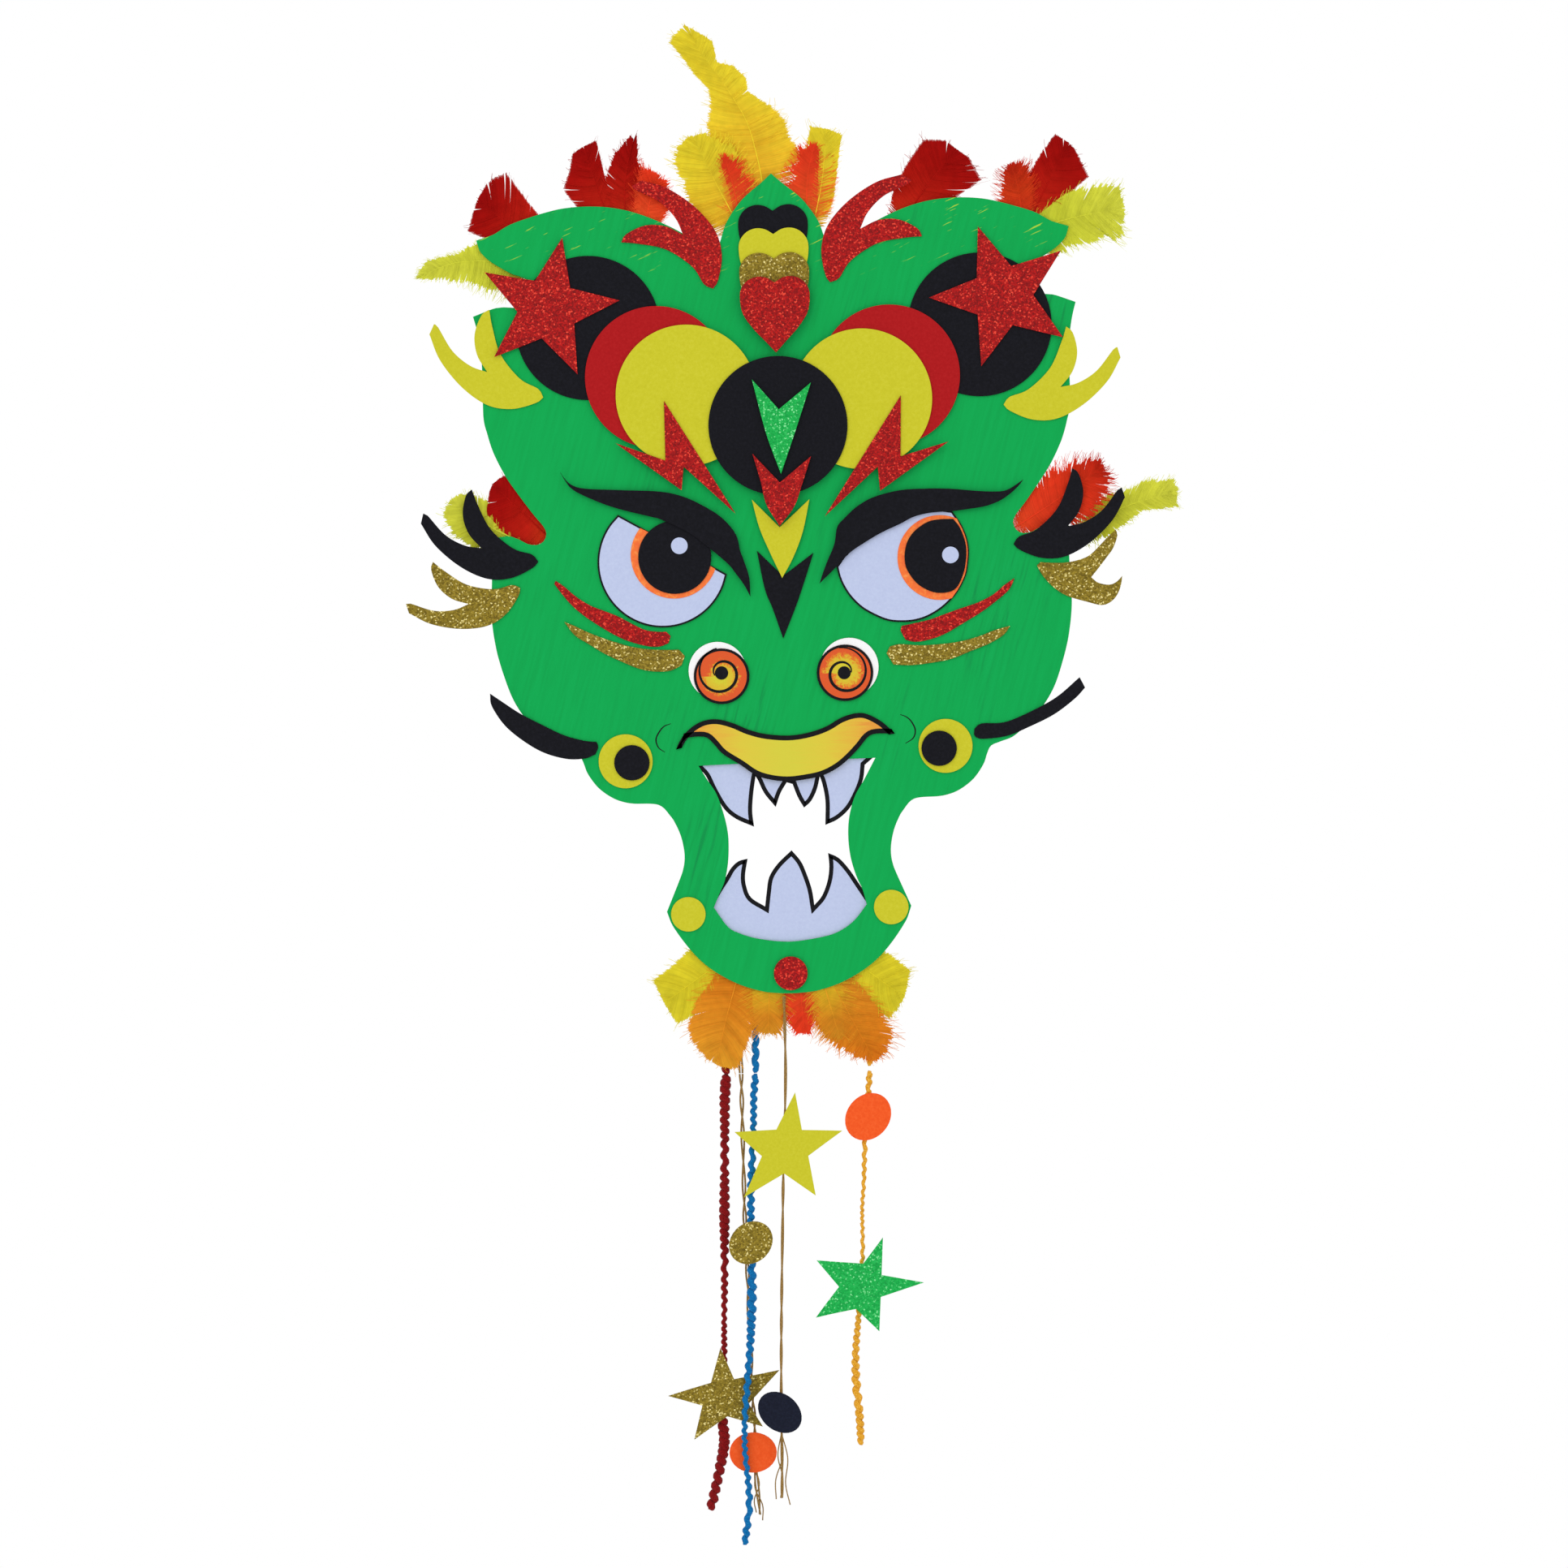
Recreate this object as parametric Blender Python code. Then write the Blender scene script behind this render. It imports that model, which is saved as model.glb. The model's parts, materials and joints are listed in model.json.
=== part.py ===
"""Dragon face kite: painted card with glued card, glitter foam, feathers and hanging strands.

All outlines are (x, z) in millimetres, seen from the front. The card's front faces -Y and its back is y = 0.
"""

import math

import bmesh
import bpy
from mathutils import Matrix, Vector

MM = 0.001

CARD_THICK = 1.0
BACK_CROWN = 0.02  # the card's back is this much lower at its rims than at the pad that meets the wall
PAPER_THICK = 0.5
FOAM_THICK = 1.2
FEATHER_THICK = 0.4
TAG_THICK = 1.0
GLUE_GAP = 0.3
DISC_POINTS = 30

# Each layer of glued paper lies one paper and one gap in front of the layer below.
LAYER_STEP = PAPER_THICK + GLUE_GAP
BEHIND_CARD = GLUE_GAP

# The strands hang from one line just below the chin feathers, and the front thread from the chin's edge.
STRAND_PIVOT_Y = 3.6
STRAND_PIVOT_Z = -209.0
FRONT_THREAD_Y = -0.8
FRONT_THREAD_Z = -171.0

COLOURS = {
    "green_painted_card": (0.0, 0.42, 0.1),
    "yellow_card": (0.80, 0.68, 0.03),
    "red_card": (0.50, 0.02, 0.02),
    "orange_card": (0.85, 0.10, 0.02),
    "black_card": (0.010, 0.010, 0.014),
    "navy_card": (0.010, 0.014, 0.03),
    "white_card": (0.66, 0.71, 0.86),
    "lip_card": (0.85, 0.45, 0.03),
    "red_glitter_foam": (0.48, 0.01, 0.01),
    "gold_glitter_foam": (0.42, 0.30, 0.04),
    "green_glitter_foam": (0.02, 0.55, 0.10),
    "yellow_feather": (0.75, 0.65, 0.05),
    "red_feather": (0.55, 0.02, 0.02),
    "orange_feather": (0.80, 0.25, 0.02),
    "red_yarn": (0.30, 0.01, 0.01),
    "blue_yarn": (0.0, 0.16, 0.45),
    "yellow_yarn": (0.80, 0.40, 0.03),
    "gold_thread": (0.40, 0.30, 0.14),
}

# The right half of the card, from the crest's tip down to the chin. None marks a sharp corner.
CARD_HALF = [
    (0, 234.5), (5, 230), (10, 226), (15, 221.5), (20, 215), (23.4, 209), (25.5, 202.5), (28, 196), None,
    (45, 206.5), (60, 214), (75, 218.8), (90, 220.4), (105, 219.4), (120, 215.5), (130, 212), (138, 207.5),
    (146, 205), None, (144.5, 200), (140.5, 195.5), (135.5, 192), (128.5, 188), (120, 184.5), (118, 178), None,
    (126.5, 172), (133, 171.8), (139, 171), (148.5, 167.5), None, (147, 162), (145, 150), (144.6, 134),
    (144.6, 118), (143, 110), (140, 100), (134.7, 89), (130, 81.7), (125.3, 75), (120.5, 68.5), (116.5, 63.5),
    (115, 59.8), (116.5, 56), (120, 54.3), (124.5, 55), (128, 57), (134, 59), (142.3, 58), None, (142.3, 40),
    (143, 20), (141.5, 6), (139.7, -2.5), (137.2, -11), (133.8, -20.5), (129, -29), (122, -37.5),
    (112, -46), (101.5, -50), (98, -58), (92.5, -66), (84, -72), (75, -74.3), (63, -75.2), None, (57.2, -81),
    (53.2, -88.6), (51.2, -96.4), (51, -103.6), (53.2, -111.4), (60.2, -127.9), None, (58.2, -133.6),
    (53.6, -141), (47.1, -149.3), (40, -156), (31.4, -161.6), (22.1, -165.9), (10.7, -168.9), (0, -169.6),
]
MOUTH = [
    (-42.9, -56.4), (0, -55.3), (44.3, -54.6), (38.6, -65), (33.6, -73.6), (30.7, -83.6), (30, -93.6),
    (31, -103.6), (33.6, -112.9), (36.4, -119.3), (38.3, -126.7), (32.1, -134.3), (25, -139.3), (16.4, -142.1),
    (0, -144.1), (-15, -142.4), (-25, -139.3), (-30.7, -135.7), (-37.1, -126.4), (-34.3, -120), (-31.4, -113.6),
    (-29.6, -105), (-29, -96.4), (-29.3, -89.3), (-31, -80.7), (-34.3, -70.7), (-38.6, -63.6),
]
# A small flat triangle round the origin on the card's back: the face that rests on a wall.
WALL_PAD = [(-40, -22), (40, -22), (0, 46)]

UPPER_TEETH = [
    (-46, -52), (-42.2, -58), (-39.3, -61.4), (-35.7, -69.3), (-30.7, -77.9), (-25, -82.9), (-16.4, -86.9),
    (-17.1, -79.3), (-16.4, -70.7), (-15, -62), (-13.6, -64.3), (-10.7, -70.7), (-5.4, -77.4), (-2.9, -70.7),
    (0.3, -65.5), (3.3, -66.4), (5.7, -72.9), (8.6, -78.1), (12.1, -75), (15, -69.3), (16.7, -62.9),
    (17.9, -66.4), (19.3, -75), (19, -86.9), (25, -84.3), (30.7, -79.3), (35, -72.1), (37.9, -65),
    (38.9, -57.9), (46, -52), (40, -48), (-40, -48),
]
LOWER_TEETH = [
    (-35, -118), (-31, -112.1), (-27.9, -107.1), (-24.3, -104), (-20, -102.9), (-21.4, -110.7), (-21, -116.4),
    (-18.6, -122.1), (-11.7, -126.7), (-10.7, -119.3), (-9.3, -112.1), (-5, -105.7), (1.9, -99.3), (6.4, -105),
    (9.3, -112.1), (11.4, -119.3), (12.4, -126.7), (16.4, -122.1), (19.3, -115), (20.4, -107.9), (20, -101.1),
    (25, -103.6), (30, -109.3), (35, -117), (42, -128), (34, -141), (18, -147.5), (0, -149), (-17, -147.5),
    (-34, -140), (-41, -128),
]
UPPER_LIP = [
    (-53.6, -47.9), (-51.4, -43.6), (-47.9, -39.3), (-42.9, -35.7), (-37.9, -34), (-32.1, -34), (-25, -36.1),
    (-17.9, -39.3), (-9.3, -41.7), (2.1, -42.7), (12.1, -41.4), (20.7, -38.6), (27.9, -34.6), (35, -32.6),
    (40.7, -33.1), (47.9, -37.1), (54, -42.9), (45, -42.6), (40.7, -44.3), (36.4, -49.3), (30.7, -55),
    (25, -59.3), (17.9, -62.6), (9.3, -64.3), (0.7, -65), (-7.9, -63.9), (-15, -61.4), (-22.1, -56.4),
    (-30.7, -50.7), (-35, -45.7), (-38.6, -42.4), (-43.6, -41.9), (-48.6, -42.4),
]
EYEBALL_RIGHT = [
    (85, 65.8), (87.8, 61.7), (90, 57.8), (92, 52.2), (92.8, 46.7), (92.4, 41.1), (91.1, 34.4), (87.8, 27.8),
    (84.4, 23.3), (78.9, 18.3), (72.2, 14.4), (65.6, 12.4), (58.9, 12), (52.2, 12.8), (45.6, 15.6),
    (39.4, 19.4), (34.4, 24.4), (31.1, 29.4), (28.9, 34.4), (27.6, 40), (34.4, 48), (50, 58), (70, 67),
]
PUPIL_RIGHT = [
    (85.5, 62), (88.5, 58), (90.8, 52), (91.6, 46.7), (91.2, 41.1), (89.8, 34.8), (86.5, 28.3), (82, 26),
    (75, 26.2), (67.5, 30.2), (62.3, 37.3), (61.1, 43.8), (62.5, 51), (66.5, 56.7), (73, 60.9), (79.3, 62),
]
EYELID_LEFT = [
    (-108.1, 90.9), (-106.1, 87.8), (-103.3, 84.4), (-99.4, 82.2), (-93.3, 81.1), (-85.6, 80.6), (-74.4, 80),
    (-63.3, 79.4), (-54.4, 78.3), (-45.6, 75.6), (-37.8, 71.7), (-30, 66.7), (-24.4, 61.1), (-21.1, 55.6),
    (-19.7, 48.9), (-17.8, 43.3), (-15.6, 35.6), (-15.2, 26.1), (-18.3, 32.2), (-22.2, 37.8), (-25.9, 42.6),
    (-34.2, 50), (-45, 58.5), (-57.8, 65), (-63.3, 66.7), (-79.4, 71.1), (-91.1, 75.6), (-102.2, 81.7),
]
EYELID_RIGHT = [
    (18.9, 31.7), (20.6, 36.7), (23.3, 43.3), (26.7, 51.1), (28.3, 59.4), (32.2, 63.9), (37.8, 68.9),
    (44.4, 72.8), (52.2, 75.3), (61.1, 76.9), (72.2, 77.2), (83.3, 76.9), (94.4, 75.8), (104.4, 75),
    (112.2, 75.6), (120.6, 80.6), (117.8, 77.2), (113.3, 73.3), (107.8, 70), (101.1, 67.8), (93.3, 66.7),
    (85, 65.8), (78.9, 65.6), (72.2, 65), (65.6, 63.3), (58.9, 60), (50, 56.1), (41.1, 51.1), (34.4, 46.7),
    (27.6, 40), (21.7, 34.4),
]
# One die cut horn with two prongs. The crotch between the prongs is its (0, 0).
HORN = [
    (25.7, 23), (21, 25.8), (8, 22.2), (-6, 13.3), (-16, 2), (-19.4, -10), (-17.8, -22), (-15.5, -26),
    (-11, -24), (-5, -15.6), (8, -7.5), (22, -5), (30.3, -4.5), (28, -0.5), (19, 4), (9, 4), (0, 0), (4, 8),
    (12, 15.7), (24, 21.2),
]
# name: (crotch x, crotch z, turn in degrees, scale, mirrored, colour)
HORNS = {
    "crest_horn_left": (-44, 205.2, -3, 1.0, True, "red_glitter_foam"),
    "crest_horn_right": (43.3, 206.1, 0, 1.0, False, "red_glitter_foam"),
    "yellow_horn_left": (-142.1, 140, 95, 1.0, False, "yellow_card"),
    "yellow_horn_right": (140, 125.7, -105, 0.97, True, "yellow_card"),
    "black_horn_left": (-147.1, 53.4, 106, 0.95, False, "black_card"),
    "black_horn_right": (141.9, 57.1, -104, 0.93, True, "black_card"),
    "gold_horn_left": (-154.1, 26, 137, 0.88, False, "gold_glitter_foam"),
}
# The right gold horn curls away from the viewer, so its flat outline is its own.
GOLD_HORN_RIGHT = [
    (126.2, 38.2), (128, 39.7), (134, 39.2), (140.5, 39.2), (146.9, 40.4), (151.7, 42.2), (155.8, 45.7),
    (160, 50), (164.8, 54.5), (165.6, 51.5), (163.5, 45.5), (160.1, 40.8), (156.4, 36.1), (152.7, 31.6),
    (156, 28.8), (161.5, 27.6), (165.2, 29.2), (167.5, 31.7), (167, 27.9), (165.3, 23.1), (162.2, 19.4),
    (157.5, 17.7), (150, 19.7), (142.4, 22.1), (136.9, 25), (132.2, 29.1), (128.3, 34),
]
WHISKER_LEFT = [
    (-144.3, -18.4), (-140, -21.5), (-130, -28.5), (-120, -34), (-109, -39.6), (-99, -42.6), (-92.8, -43.4),
    (-92, -46), (-93.5, -49.5), (-99, -51.5), (-109, -51.2), (-122, -46.5), (-136, -36), (-143.5, -25),
]
WHISKER_RIGHT = [
    (148.1, -22.7), (145.5, -17.5), (134, -27), (120, -34.3), (108, -38.7), (97, -39), (93.4, -41.5),
    (93.1, -44.3), (96, -46.5), (109, -45.5), (121, -41), (133, -35.3), (143, -28),
]
# A raised pair of stripes below each eye.
RED_STRIPE_LEFT = [
    (-110.9, 36.4), (-106.7, 33.3), (-101.1, 28.3), (-94.4, 23.9), (-87.8, 21.1), (-81.1, 18.3), (-74.4, 14.6),
    (-67.8, 11.2), (-61.1, 10), (-57.2, 10), (-55, 7.8), (-56.1, 4.4), (-60, 2.9), (-64.4, 2.8), (-70, 4),
    (-76.7, 6.2), (-83.3, 9.5), (-91.1, 14.4), (-97.8, 19.2), (-103.3, 24.2), (-107.8, 29.6), (-111.7, 35),
]
RED_STRIPE_RIGHT = [
    (58.3, 7.8), (58.9, 10), (63.3, 10.8), (72.2, 12.6), (78.9, 14.8), (87.8, 17.8), (96.7, 20.6),
    (104.4, 24.4), (110, 28.9), (115, 32.2), (112.2, 26.7), (105.6, 21.1), (97.8, 15.6), (90, 11.1),
    (81.1, 6.1), (73.3, 3.2), (65.6, 2), (60.6, 3.2),
]
GOLD_STRIPE_LEFT = [
    (-107.2, 16.1), (-102.2, 13.9), (-95.6, 10.6), (-88.9, 7.8), (-82.2, 5.4), (-74.4, 3), (-65.6, 1.5),
    (-56.7, 1), (-51.1, 1), (-48.3, -2.2), (-50, -6.7), (-55.6, -9.2), (-63.3, -9.4), (-71.1, -7.8),
    (-80, -3.9), (-87.8, 0), (-95.6, 5), (-102.2, 9.4),
]
GOLD_STRIPE_RIGHT = [
    (51.1, -3.3), (52.8, 0), (57.8, 1), (67.8, 0.2), (78.9, 0.6), (87.8, 1.7), (96.7, 3.9), (104.4, 6.7),
    (112.2, 8.7), (108.9, 4.4), (101.1, 0), (92.2, -3.3), (83.3, -6.7), (74.4, -8.3), (63.3, -9.4), (54.4, -8.9),
]
BOLT_LEFT = [(-55.4, 123.5), (-55.4, 94.1), (-79.8, 103.3), (-47.8, 79.3), (-46.5, 90.9), (-21.5, 67.1)]
BOLT_RIGHT = [(61.2, 123.4), (60.3, 93.3), (84.2, 100.1), (49.8, 76.6), (49, 88.5), (22.3, 64.7)]
CHEVRON_GREEN = [(-11.9, 132.9), (1, 117.8), (17.1, 130.6), (10, 110), (1.3, 86), (-5.6, 106.3)]
CHEVRON_RED = [
    (-12.5, 96.3), (0.6, 81.8), (16.3, 94.4), (11.3, 80), (7.5, 70), (0, 60.4), (-6.3, 71.3), (-8.8, 82.5),
]
CHEVRON_YELLOW = [
    (-13.4, 74), (0, 60), (15, 73.5), (11.3, 57.5), (6.3, 45), (0.6, 35), (-5, 47.5), (-10, 60),
]
# The right half of a heart, from its dip to its point, with its top at z = 0.
HEART_HALF = [
    (0, -3), (4, -0.6), (8.6, 0), (13, -1.6), (16.2, -5.2), (17.2, -10), (15.9, -18), (10.9, -25.5),
    (5.4, -31.5), (0, -37.4),
]
HEART_X = 0.4
HEARTS = {
    "heart_black": (219.0, 0, "black_card"),
    "heart_yellow": (207.4, 1, "yellow_card"),
    "heart_gold": (195.2, 2, "gold_glitter_foam"),
    "heart_red": (183.2, 4, "red_glitter_foam"),
}

# The outline that each cluster of feathers covers.
CREST_FEATHERS = [
    (-41, 310), (-50, 301), (-44, 294), (-37, 284), (-31, 278), (-32.5, 260), (-41, 253.6), (-48.6, 241),
    (-46.4, 236), (-43, 223), (-38.6, 214), (-18, 208), (0, 212), (18, 208), (28.6, 216), (31.4, 223),
    (34.3, 244), (36.1, 253.3), (19.3, 258.3), (17, 244), (9.3, 254), (8.6, 260), (-3, 271), (-10, 275.7),
    (-11, 283), (-17, 288.6), (-25, 290), (-27, 301),
]
EAR_FEATHERS_LEFT = [
    (-178.3, 186), (-171, 196), (-156, 199), (-150.7, 209.7), (-147, 220), (-140, 234), (-130.7, 239),
    (-118, 222), (-103, 226), (-103, 232), (-97.7, 246.5), (-85.5, 253.4), (-65.4, 256.5), (-66, 242),
    (-52, 229), (-56, 212), (-75, 205), (-118, 200), (-121, 186), (-132, 176), (-146, 183), (-163, 187),
]
EAR_FEATHERS_RIGHT = [
    (52, 218), (68, 230), (75.6, 250), (86.4, 249), (104, 229), (118, 222), (118.6, 233), (140.4, 250.6),
    (150.3, 242.4), (157, 229), (172, 225), (174.7, 214), (173.6, 200), (171.4, 194), (148.6, 194),
    (131, 193.6), (110, 200), (75, 205),
]
CHEEK_FEATHERS_LEFT = [
    (-166.9, 69.4), (-165, 74), (-157, 81), (-148, 80), (-141, 85.6), (-135.6, 89.4), (-124, 72), (-114, 60),
    (-114, 50), (-140, 48), (-155, 55), (-166, 66),
]
CHEEK_FEATHERS_RIGHT = [
    (110, 57), (118, 70), (131, 84), (143.8, 90.6), (158, 91.6), (165.3, 81.3), (172.5, 75), (180, 79),
    (195, 80), (198, 72.5), (197.5, 65), (192.5, 60.6), (180, 63.8), (178.8, 57.5), (165, 52.5), (155, 47.5),
    (130, 47),
]
CHIN_FEATHERS = [
    (-52, -152), (-60, -156), (-69.3, -161.4), (-65.7, -171), (-58.6, -181), (-53, -186), (-50, -193),
    (-43, -201), (-34, -206), (-27, -207), (-21.4, -194), (-6, -189), (8.6, -190), (20, -197), (31.4, -203),
    (41.4, -207), (47, -201), (51.4, -188.6), (57, -175.7), (60, -159.3), (45, -154), (30, -151.5),
    (0, -151.5), (-30, -151.5),
]

# The strands' routes as (x, y, z), from where each one comes out to its free end.
RED_YARN_ROUTE = [
    (-33.0, 3.6, -209), (-34, 3.9, -220), (-34.6, 4.6, -241), (-35, 5.3, -256), (-35.7, 6.4, -278),
    (-36.2, 7.3, -302), (-36.7, 7.8, -318), (-37.3, 7.8, -336), (-37.6, 7.8, -349), (-38.6, 7.8, -362),
    (-39.3, 7.8, -378), (-38.6, 7.8, -391), (-41.1, 7.8, -404), (-44.0, 7.8, -416), (-46.2, 7.8, -424.5),
]
BLUE_YARN_ROUTE = [
    (-18.6, 3.6, -209), (-19.7, 2.6, -220), (-20.2, 1.4, -234), (-21.1, 1.0, -249), (-22.1, 1.0, -263),
    (-22.6, 1.0, -279), (-22.8, 1.0, -296), (-22.9, 1.0, -313), (-24, 1.0, -336), (-26, 1.0, -358),
    (-27.8, 1.0, -376), (-28.4, 1.0, -393), (-27.1, 1.0, -411), (-26.9, 1.0, -422), (-28.9, 1.0, -436),
    (-29.6, 1.0, -441),
]
BACK_THREAD_ROUTE = [
    (-25.7, 3.6, -209), (-25.7, 3.9, -225), (-25.7, 4.5, -245), (-25.7, 5.1, -265), (-25.7, 5.5, -281),
    (-25.1, 6.0, -304), (-24.8, 6.2, -325), (-24.4, 6.2, -347), (-24, 6.2, -369), (-23.3, 6.2, -387),
    (-23.3, 6.2, -407), (-22.4, 6.2, -418), (-21.8, 6.2, -427),
]
FRONT_THREAD_ROUTE = [
    (-3.6, -0.8, -171), (-3.6, -0.8, -190), (-3.7, -0.8, -206), (-4.3, -0.8, -223), (-5.2, -0.8, -241),
    (-6.1, -0.8, -259), (-6.8, -0.8, -277), (-7.5, -0.8, -295), (-8.2, -0.8, -313), (-9, -0.8, -336),
    (-9.6, -0.8, -358), (-10, -0.8, -378), (-10.2, -0.8, -400), (-10.7, -0.8, -418),
]
YELLOW_YARN_ROUTE = [
    (37.8, 3.6, -209), (36.9, 3.6, -219), (34.6, 3.6, -244), (33.6, 3.6, -263), (32.4, 3.6, -277),
    (32.0, 3.6, -300), (29.6, 3.6, -327), (27.5, 3.6, -347), (27.3, 3.6, -362), (28.6, 3.6, -380),
    (28.9, 3.6, -393.5),
]
# name: (route, radius, points along the tube, colour)
STRANDS = {
    "red_yarn": (RED_YARN_ROUTE, 3.0, 17, "red_yarn"),
    "blue_yarn": (BLUE_YARN_ROUTE, 2.2, 24, "blue_yarn"),
    "back_gold_threads": (BACK_THREAD_ROUTE, 1.2, 36, "gold_thread"),
    "front_gold_threads": (FRONT_THREAD_ROUTE, 0.8, 56, "gold_thread"),
    "yellow_yarn": (YELLOW_YARN_ROUTE, 2.0, 20, "yellow_yarn"),
}

TAG_STAR_YELLOW = [
    (0.7, -218.3), (3.6, -236.9), (23.4, -237.6), (6.4, -249.7), (9.6, -269.3), (-5.7, -258.1),
    (-25.7, -269.3), (-16.4, -249.3), (-29.6, -237.1), (-9, -236.4),
]
TAG_STAR_GREEN = [
    (42.2, -291.1), (41.1, -309.6), (61.8, -313.8), (40.4, -320.4), (39.3, -337.3), (28.2, -326),
    (8.2, -329.3), (20, -314.9), (9.3, -301.6), (32.2, -303.8),
]
TAG_STAR_GOLD = [
    (-39.3, -344), (-32.9, -359.6), (-10.4, -355.6), (-26, -371.8), (-19.3, -383.3), (-36.7, -377.8),
    (-53.3, -388.9), (-48.9, -372.2), (-65.6, -366.7), (-44.4, -361.1),
]


def clear_scene():
    for obj in list(bpy.data.objects):
        bpy.data.objects.remove(obj, do_unlink=True)


def material(name, colour):
    made = bpy.data.materials.new(name)
    made.use_nodes = True
    shader = made.node_tree.nodes["Principled BSDF"]
    shader.inputs["Base Color"].default_value = (*COLOURS[colour], 1.0)
    shader.inputs["Roughness"].default_value = 0.45 if "glitter" in colour else 0.8
    return made


def layer_back(level):
    """The y of the back face of a piece glued on at this level, counted from the card's front."""
    return -(CARD_THICK + GLUE_GAP + LAYER_STEP * level)


def add_object(name, data, colour):
    obj = bpy.data.objects.new(name, data)
    bpy.context.scene.collection.objects.link(obj)
    obj.data.materials.append(material(name, colour))
    return obj


def plate(name, outline, back, thick, colour):
    """A flat closed piece cut to the outline, from y = back towards the viewer."""
    bm = bmesh.new()
    verts = [bm.verts.new((x * MM, back * MM, z * MM)) for x, z in outline]
    face = bm.faces.new(verts)
    pushed = bmesh.ops.extrude_face_region(bm, geom=[face])["geom"]
    moved = [part for part in pushed if isinstance(part, bmesh.types.BMVert)]
    bmesh.ops.translate(bm, vec=(0, -thick * MM, 0), verts=moved)
    bmesh.ops.recalc_face_normals(bm, faces=bm.faces)
    mesh = bpy.data.meshes.new(name)
    bm.to_mesh(mesh)
    bm.free()
    return add_object(name, mesh, colour)


def rounded(points):
    """The outline with one more point on each curved stretch. None keeps the corner before it sharp."""
    corners = set()
    kept = []
    for point in points:
        if point is None:
            corners.add(len(kept) - 1)
        else:
            kept.append(Vector(point))
    made = []
    for i in range(len(kept) - 1):
        made.append(tuple(kept[i]))
        if i == 0 or i in corners or i + 1 in corners or i + 2 >= len(kept):
            continue
        before, here, there, after = kept[i - 1 : i + 3]
        middle = (here + there) * (9 / 16) - (before + after) / 16
        made.append(tuple(middle))
    made.append(tuple(kept[-1]))
    return made


def mirrored_outline(half):
    """The closed outline whose right half runs from the top point to the bottom point."""
    return half + [(-x, z) for x, z in reversed(half[1:-1])]


def loop_edges(bm, outline, y):
    verts = [bm.verts.new((x * MM, y * MM, z * MM)) for x, z in outline]
    edges = [bm.edges.new((verts[i], verts[i - 1])) for i in range(len(verts))]
    return verts, edges


def face_card():
    """The face card: front and back sheets with the mouth cut out, and walls round both edges."""
    outer = mirrored_outline(rounded(CARD_HALF))
    bm = bmesh.new()
    rims = {}
    for side, y in (("front", -CARD_THICK), ("back", -BACK_CROWN)):
        outer_verts, outer_edges = loop_edges(bm, outer, y)
        mouth_verts, mouth_edges = loop_edges(bm, MOUTH, y)
        border = outer_edges + mouth_edges
        if side == "back":
            pad_verts, pad_edges = loop_edges(bm, WALL_PAD, 0.0)
            border = border + pad_edges
            bm.faces.new(pad_verts)
        bmesh.ops.triangle_fill(bm, edges=border, use_beauty=True)
        rims[side] = (outer_verts, mouth_verts)
    for front, back in zip(rims["front"], rims["back"]):
        for i in range(len(front)):
            bm.faces.new((front[i], front[i - 1], back[i - 1], back[i]))
    bmesh.ops.recalc_face_normals(bm, faces=bm.faces)
    mesh = bpy.data.meshes.new("face_card")
    bm.to_mesh(mesh)
    bm.free()
    return add_object("face_card", mesh, "green_painted_card")


def ellipse(x, z, across, high, turn=0.0):
    """A round or oval outline with these two half widths, turned by this many degrees."""
    spin = Matrix.Rotation(math.radians(turn), 2)
    points = []
    for i in range(DISC_POINTS):
        angle = 2 * math.pi * i / DISC_POINTS
        at = spin @ Vector((across * math.cos(angle), high * math.sin(angle)))
        points.append((x + at.x, z + at.y))
    return points


def star(x, z, outer, inner, first):
    """A star with five points. The first points this many degrees up from +X."""
    points = []
    for i in range(10):
        reach = inner if i % 2 else outer
        angle = math.radians(first + 36 * i)
        points.append((x + reach * math.cos(angle), z + reach * math.sin(angle)))
    return points


def horn_outline(x, z, turn, scale, flipped):
    spin = Matrix.Rotation(math.radians(turn), 2)
    points = []
    for along, up in HORN:
        at = spin @ Vector((-along if flipped else along, up)) * scale
        points.append((x + at.x, z + at.y))
    return points


def round_cut(centre, radius, lid):
    """A circle's outline below a straight lid line, for the left eyeball."""
    (x0, z0), (x1, z1) = lid
    kept = []
    for x, z in ellipse(*centre, radius, radius):
        if (x1 - x0) * (z - z0) - (z1 - z0) * (x - x0) < 0:
            kept.append((x, z))
    first = kept.index(max(kept, key=lambda p: p[0]))
    kept = kept[first:] + kept[:first]
    return kept


def paper(name, outline, level, colour):
    thick = FOAM_THICK if level >= 4 and "glitter" in colour else PAPER_THICK
    return plate(name, outline, layer_back(level), thick, colour)


def add_eyes():
    left_lid = ((-79.4, 72.0), (-25.9, 43.6))
    paper("eyeball_left", round_cut((-58, 44.2), 32, left_lid), 0, "white_card")
    paper("eyeball_right", EYEBALL_RIGHT, 0, "white_card")
    paper("pupil_left", ellipse(-52, 46.5, 18, 18), 1, "black_card")
    paper("pupil_right", PUPIL_RIGHT, 1, "black_card")
    paper("eyelid_left", EYELID_LEFT, 2, "black_card")
    paper("eyelid_right", EYELID_RIGHT, 2, "black_card")


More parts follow.
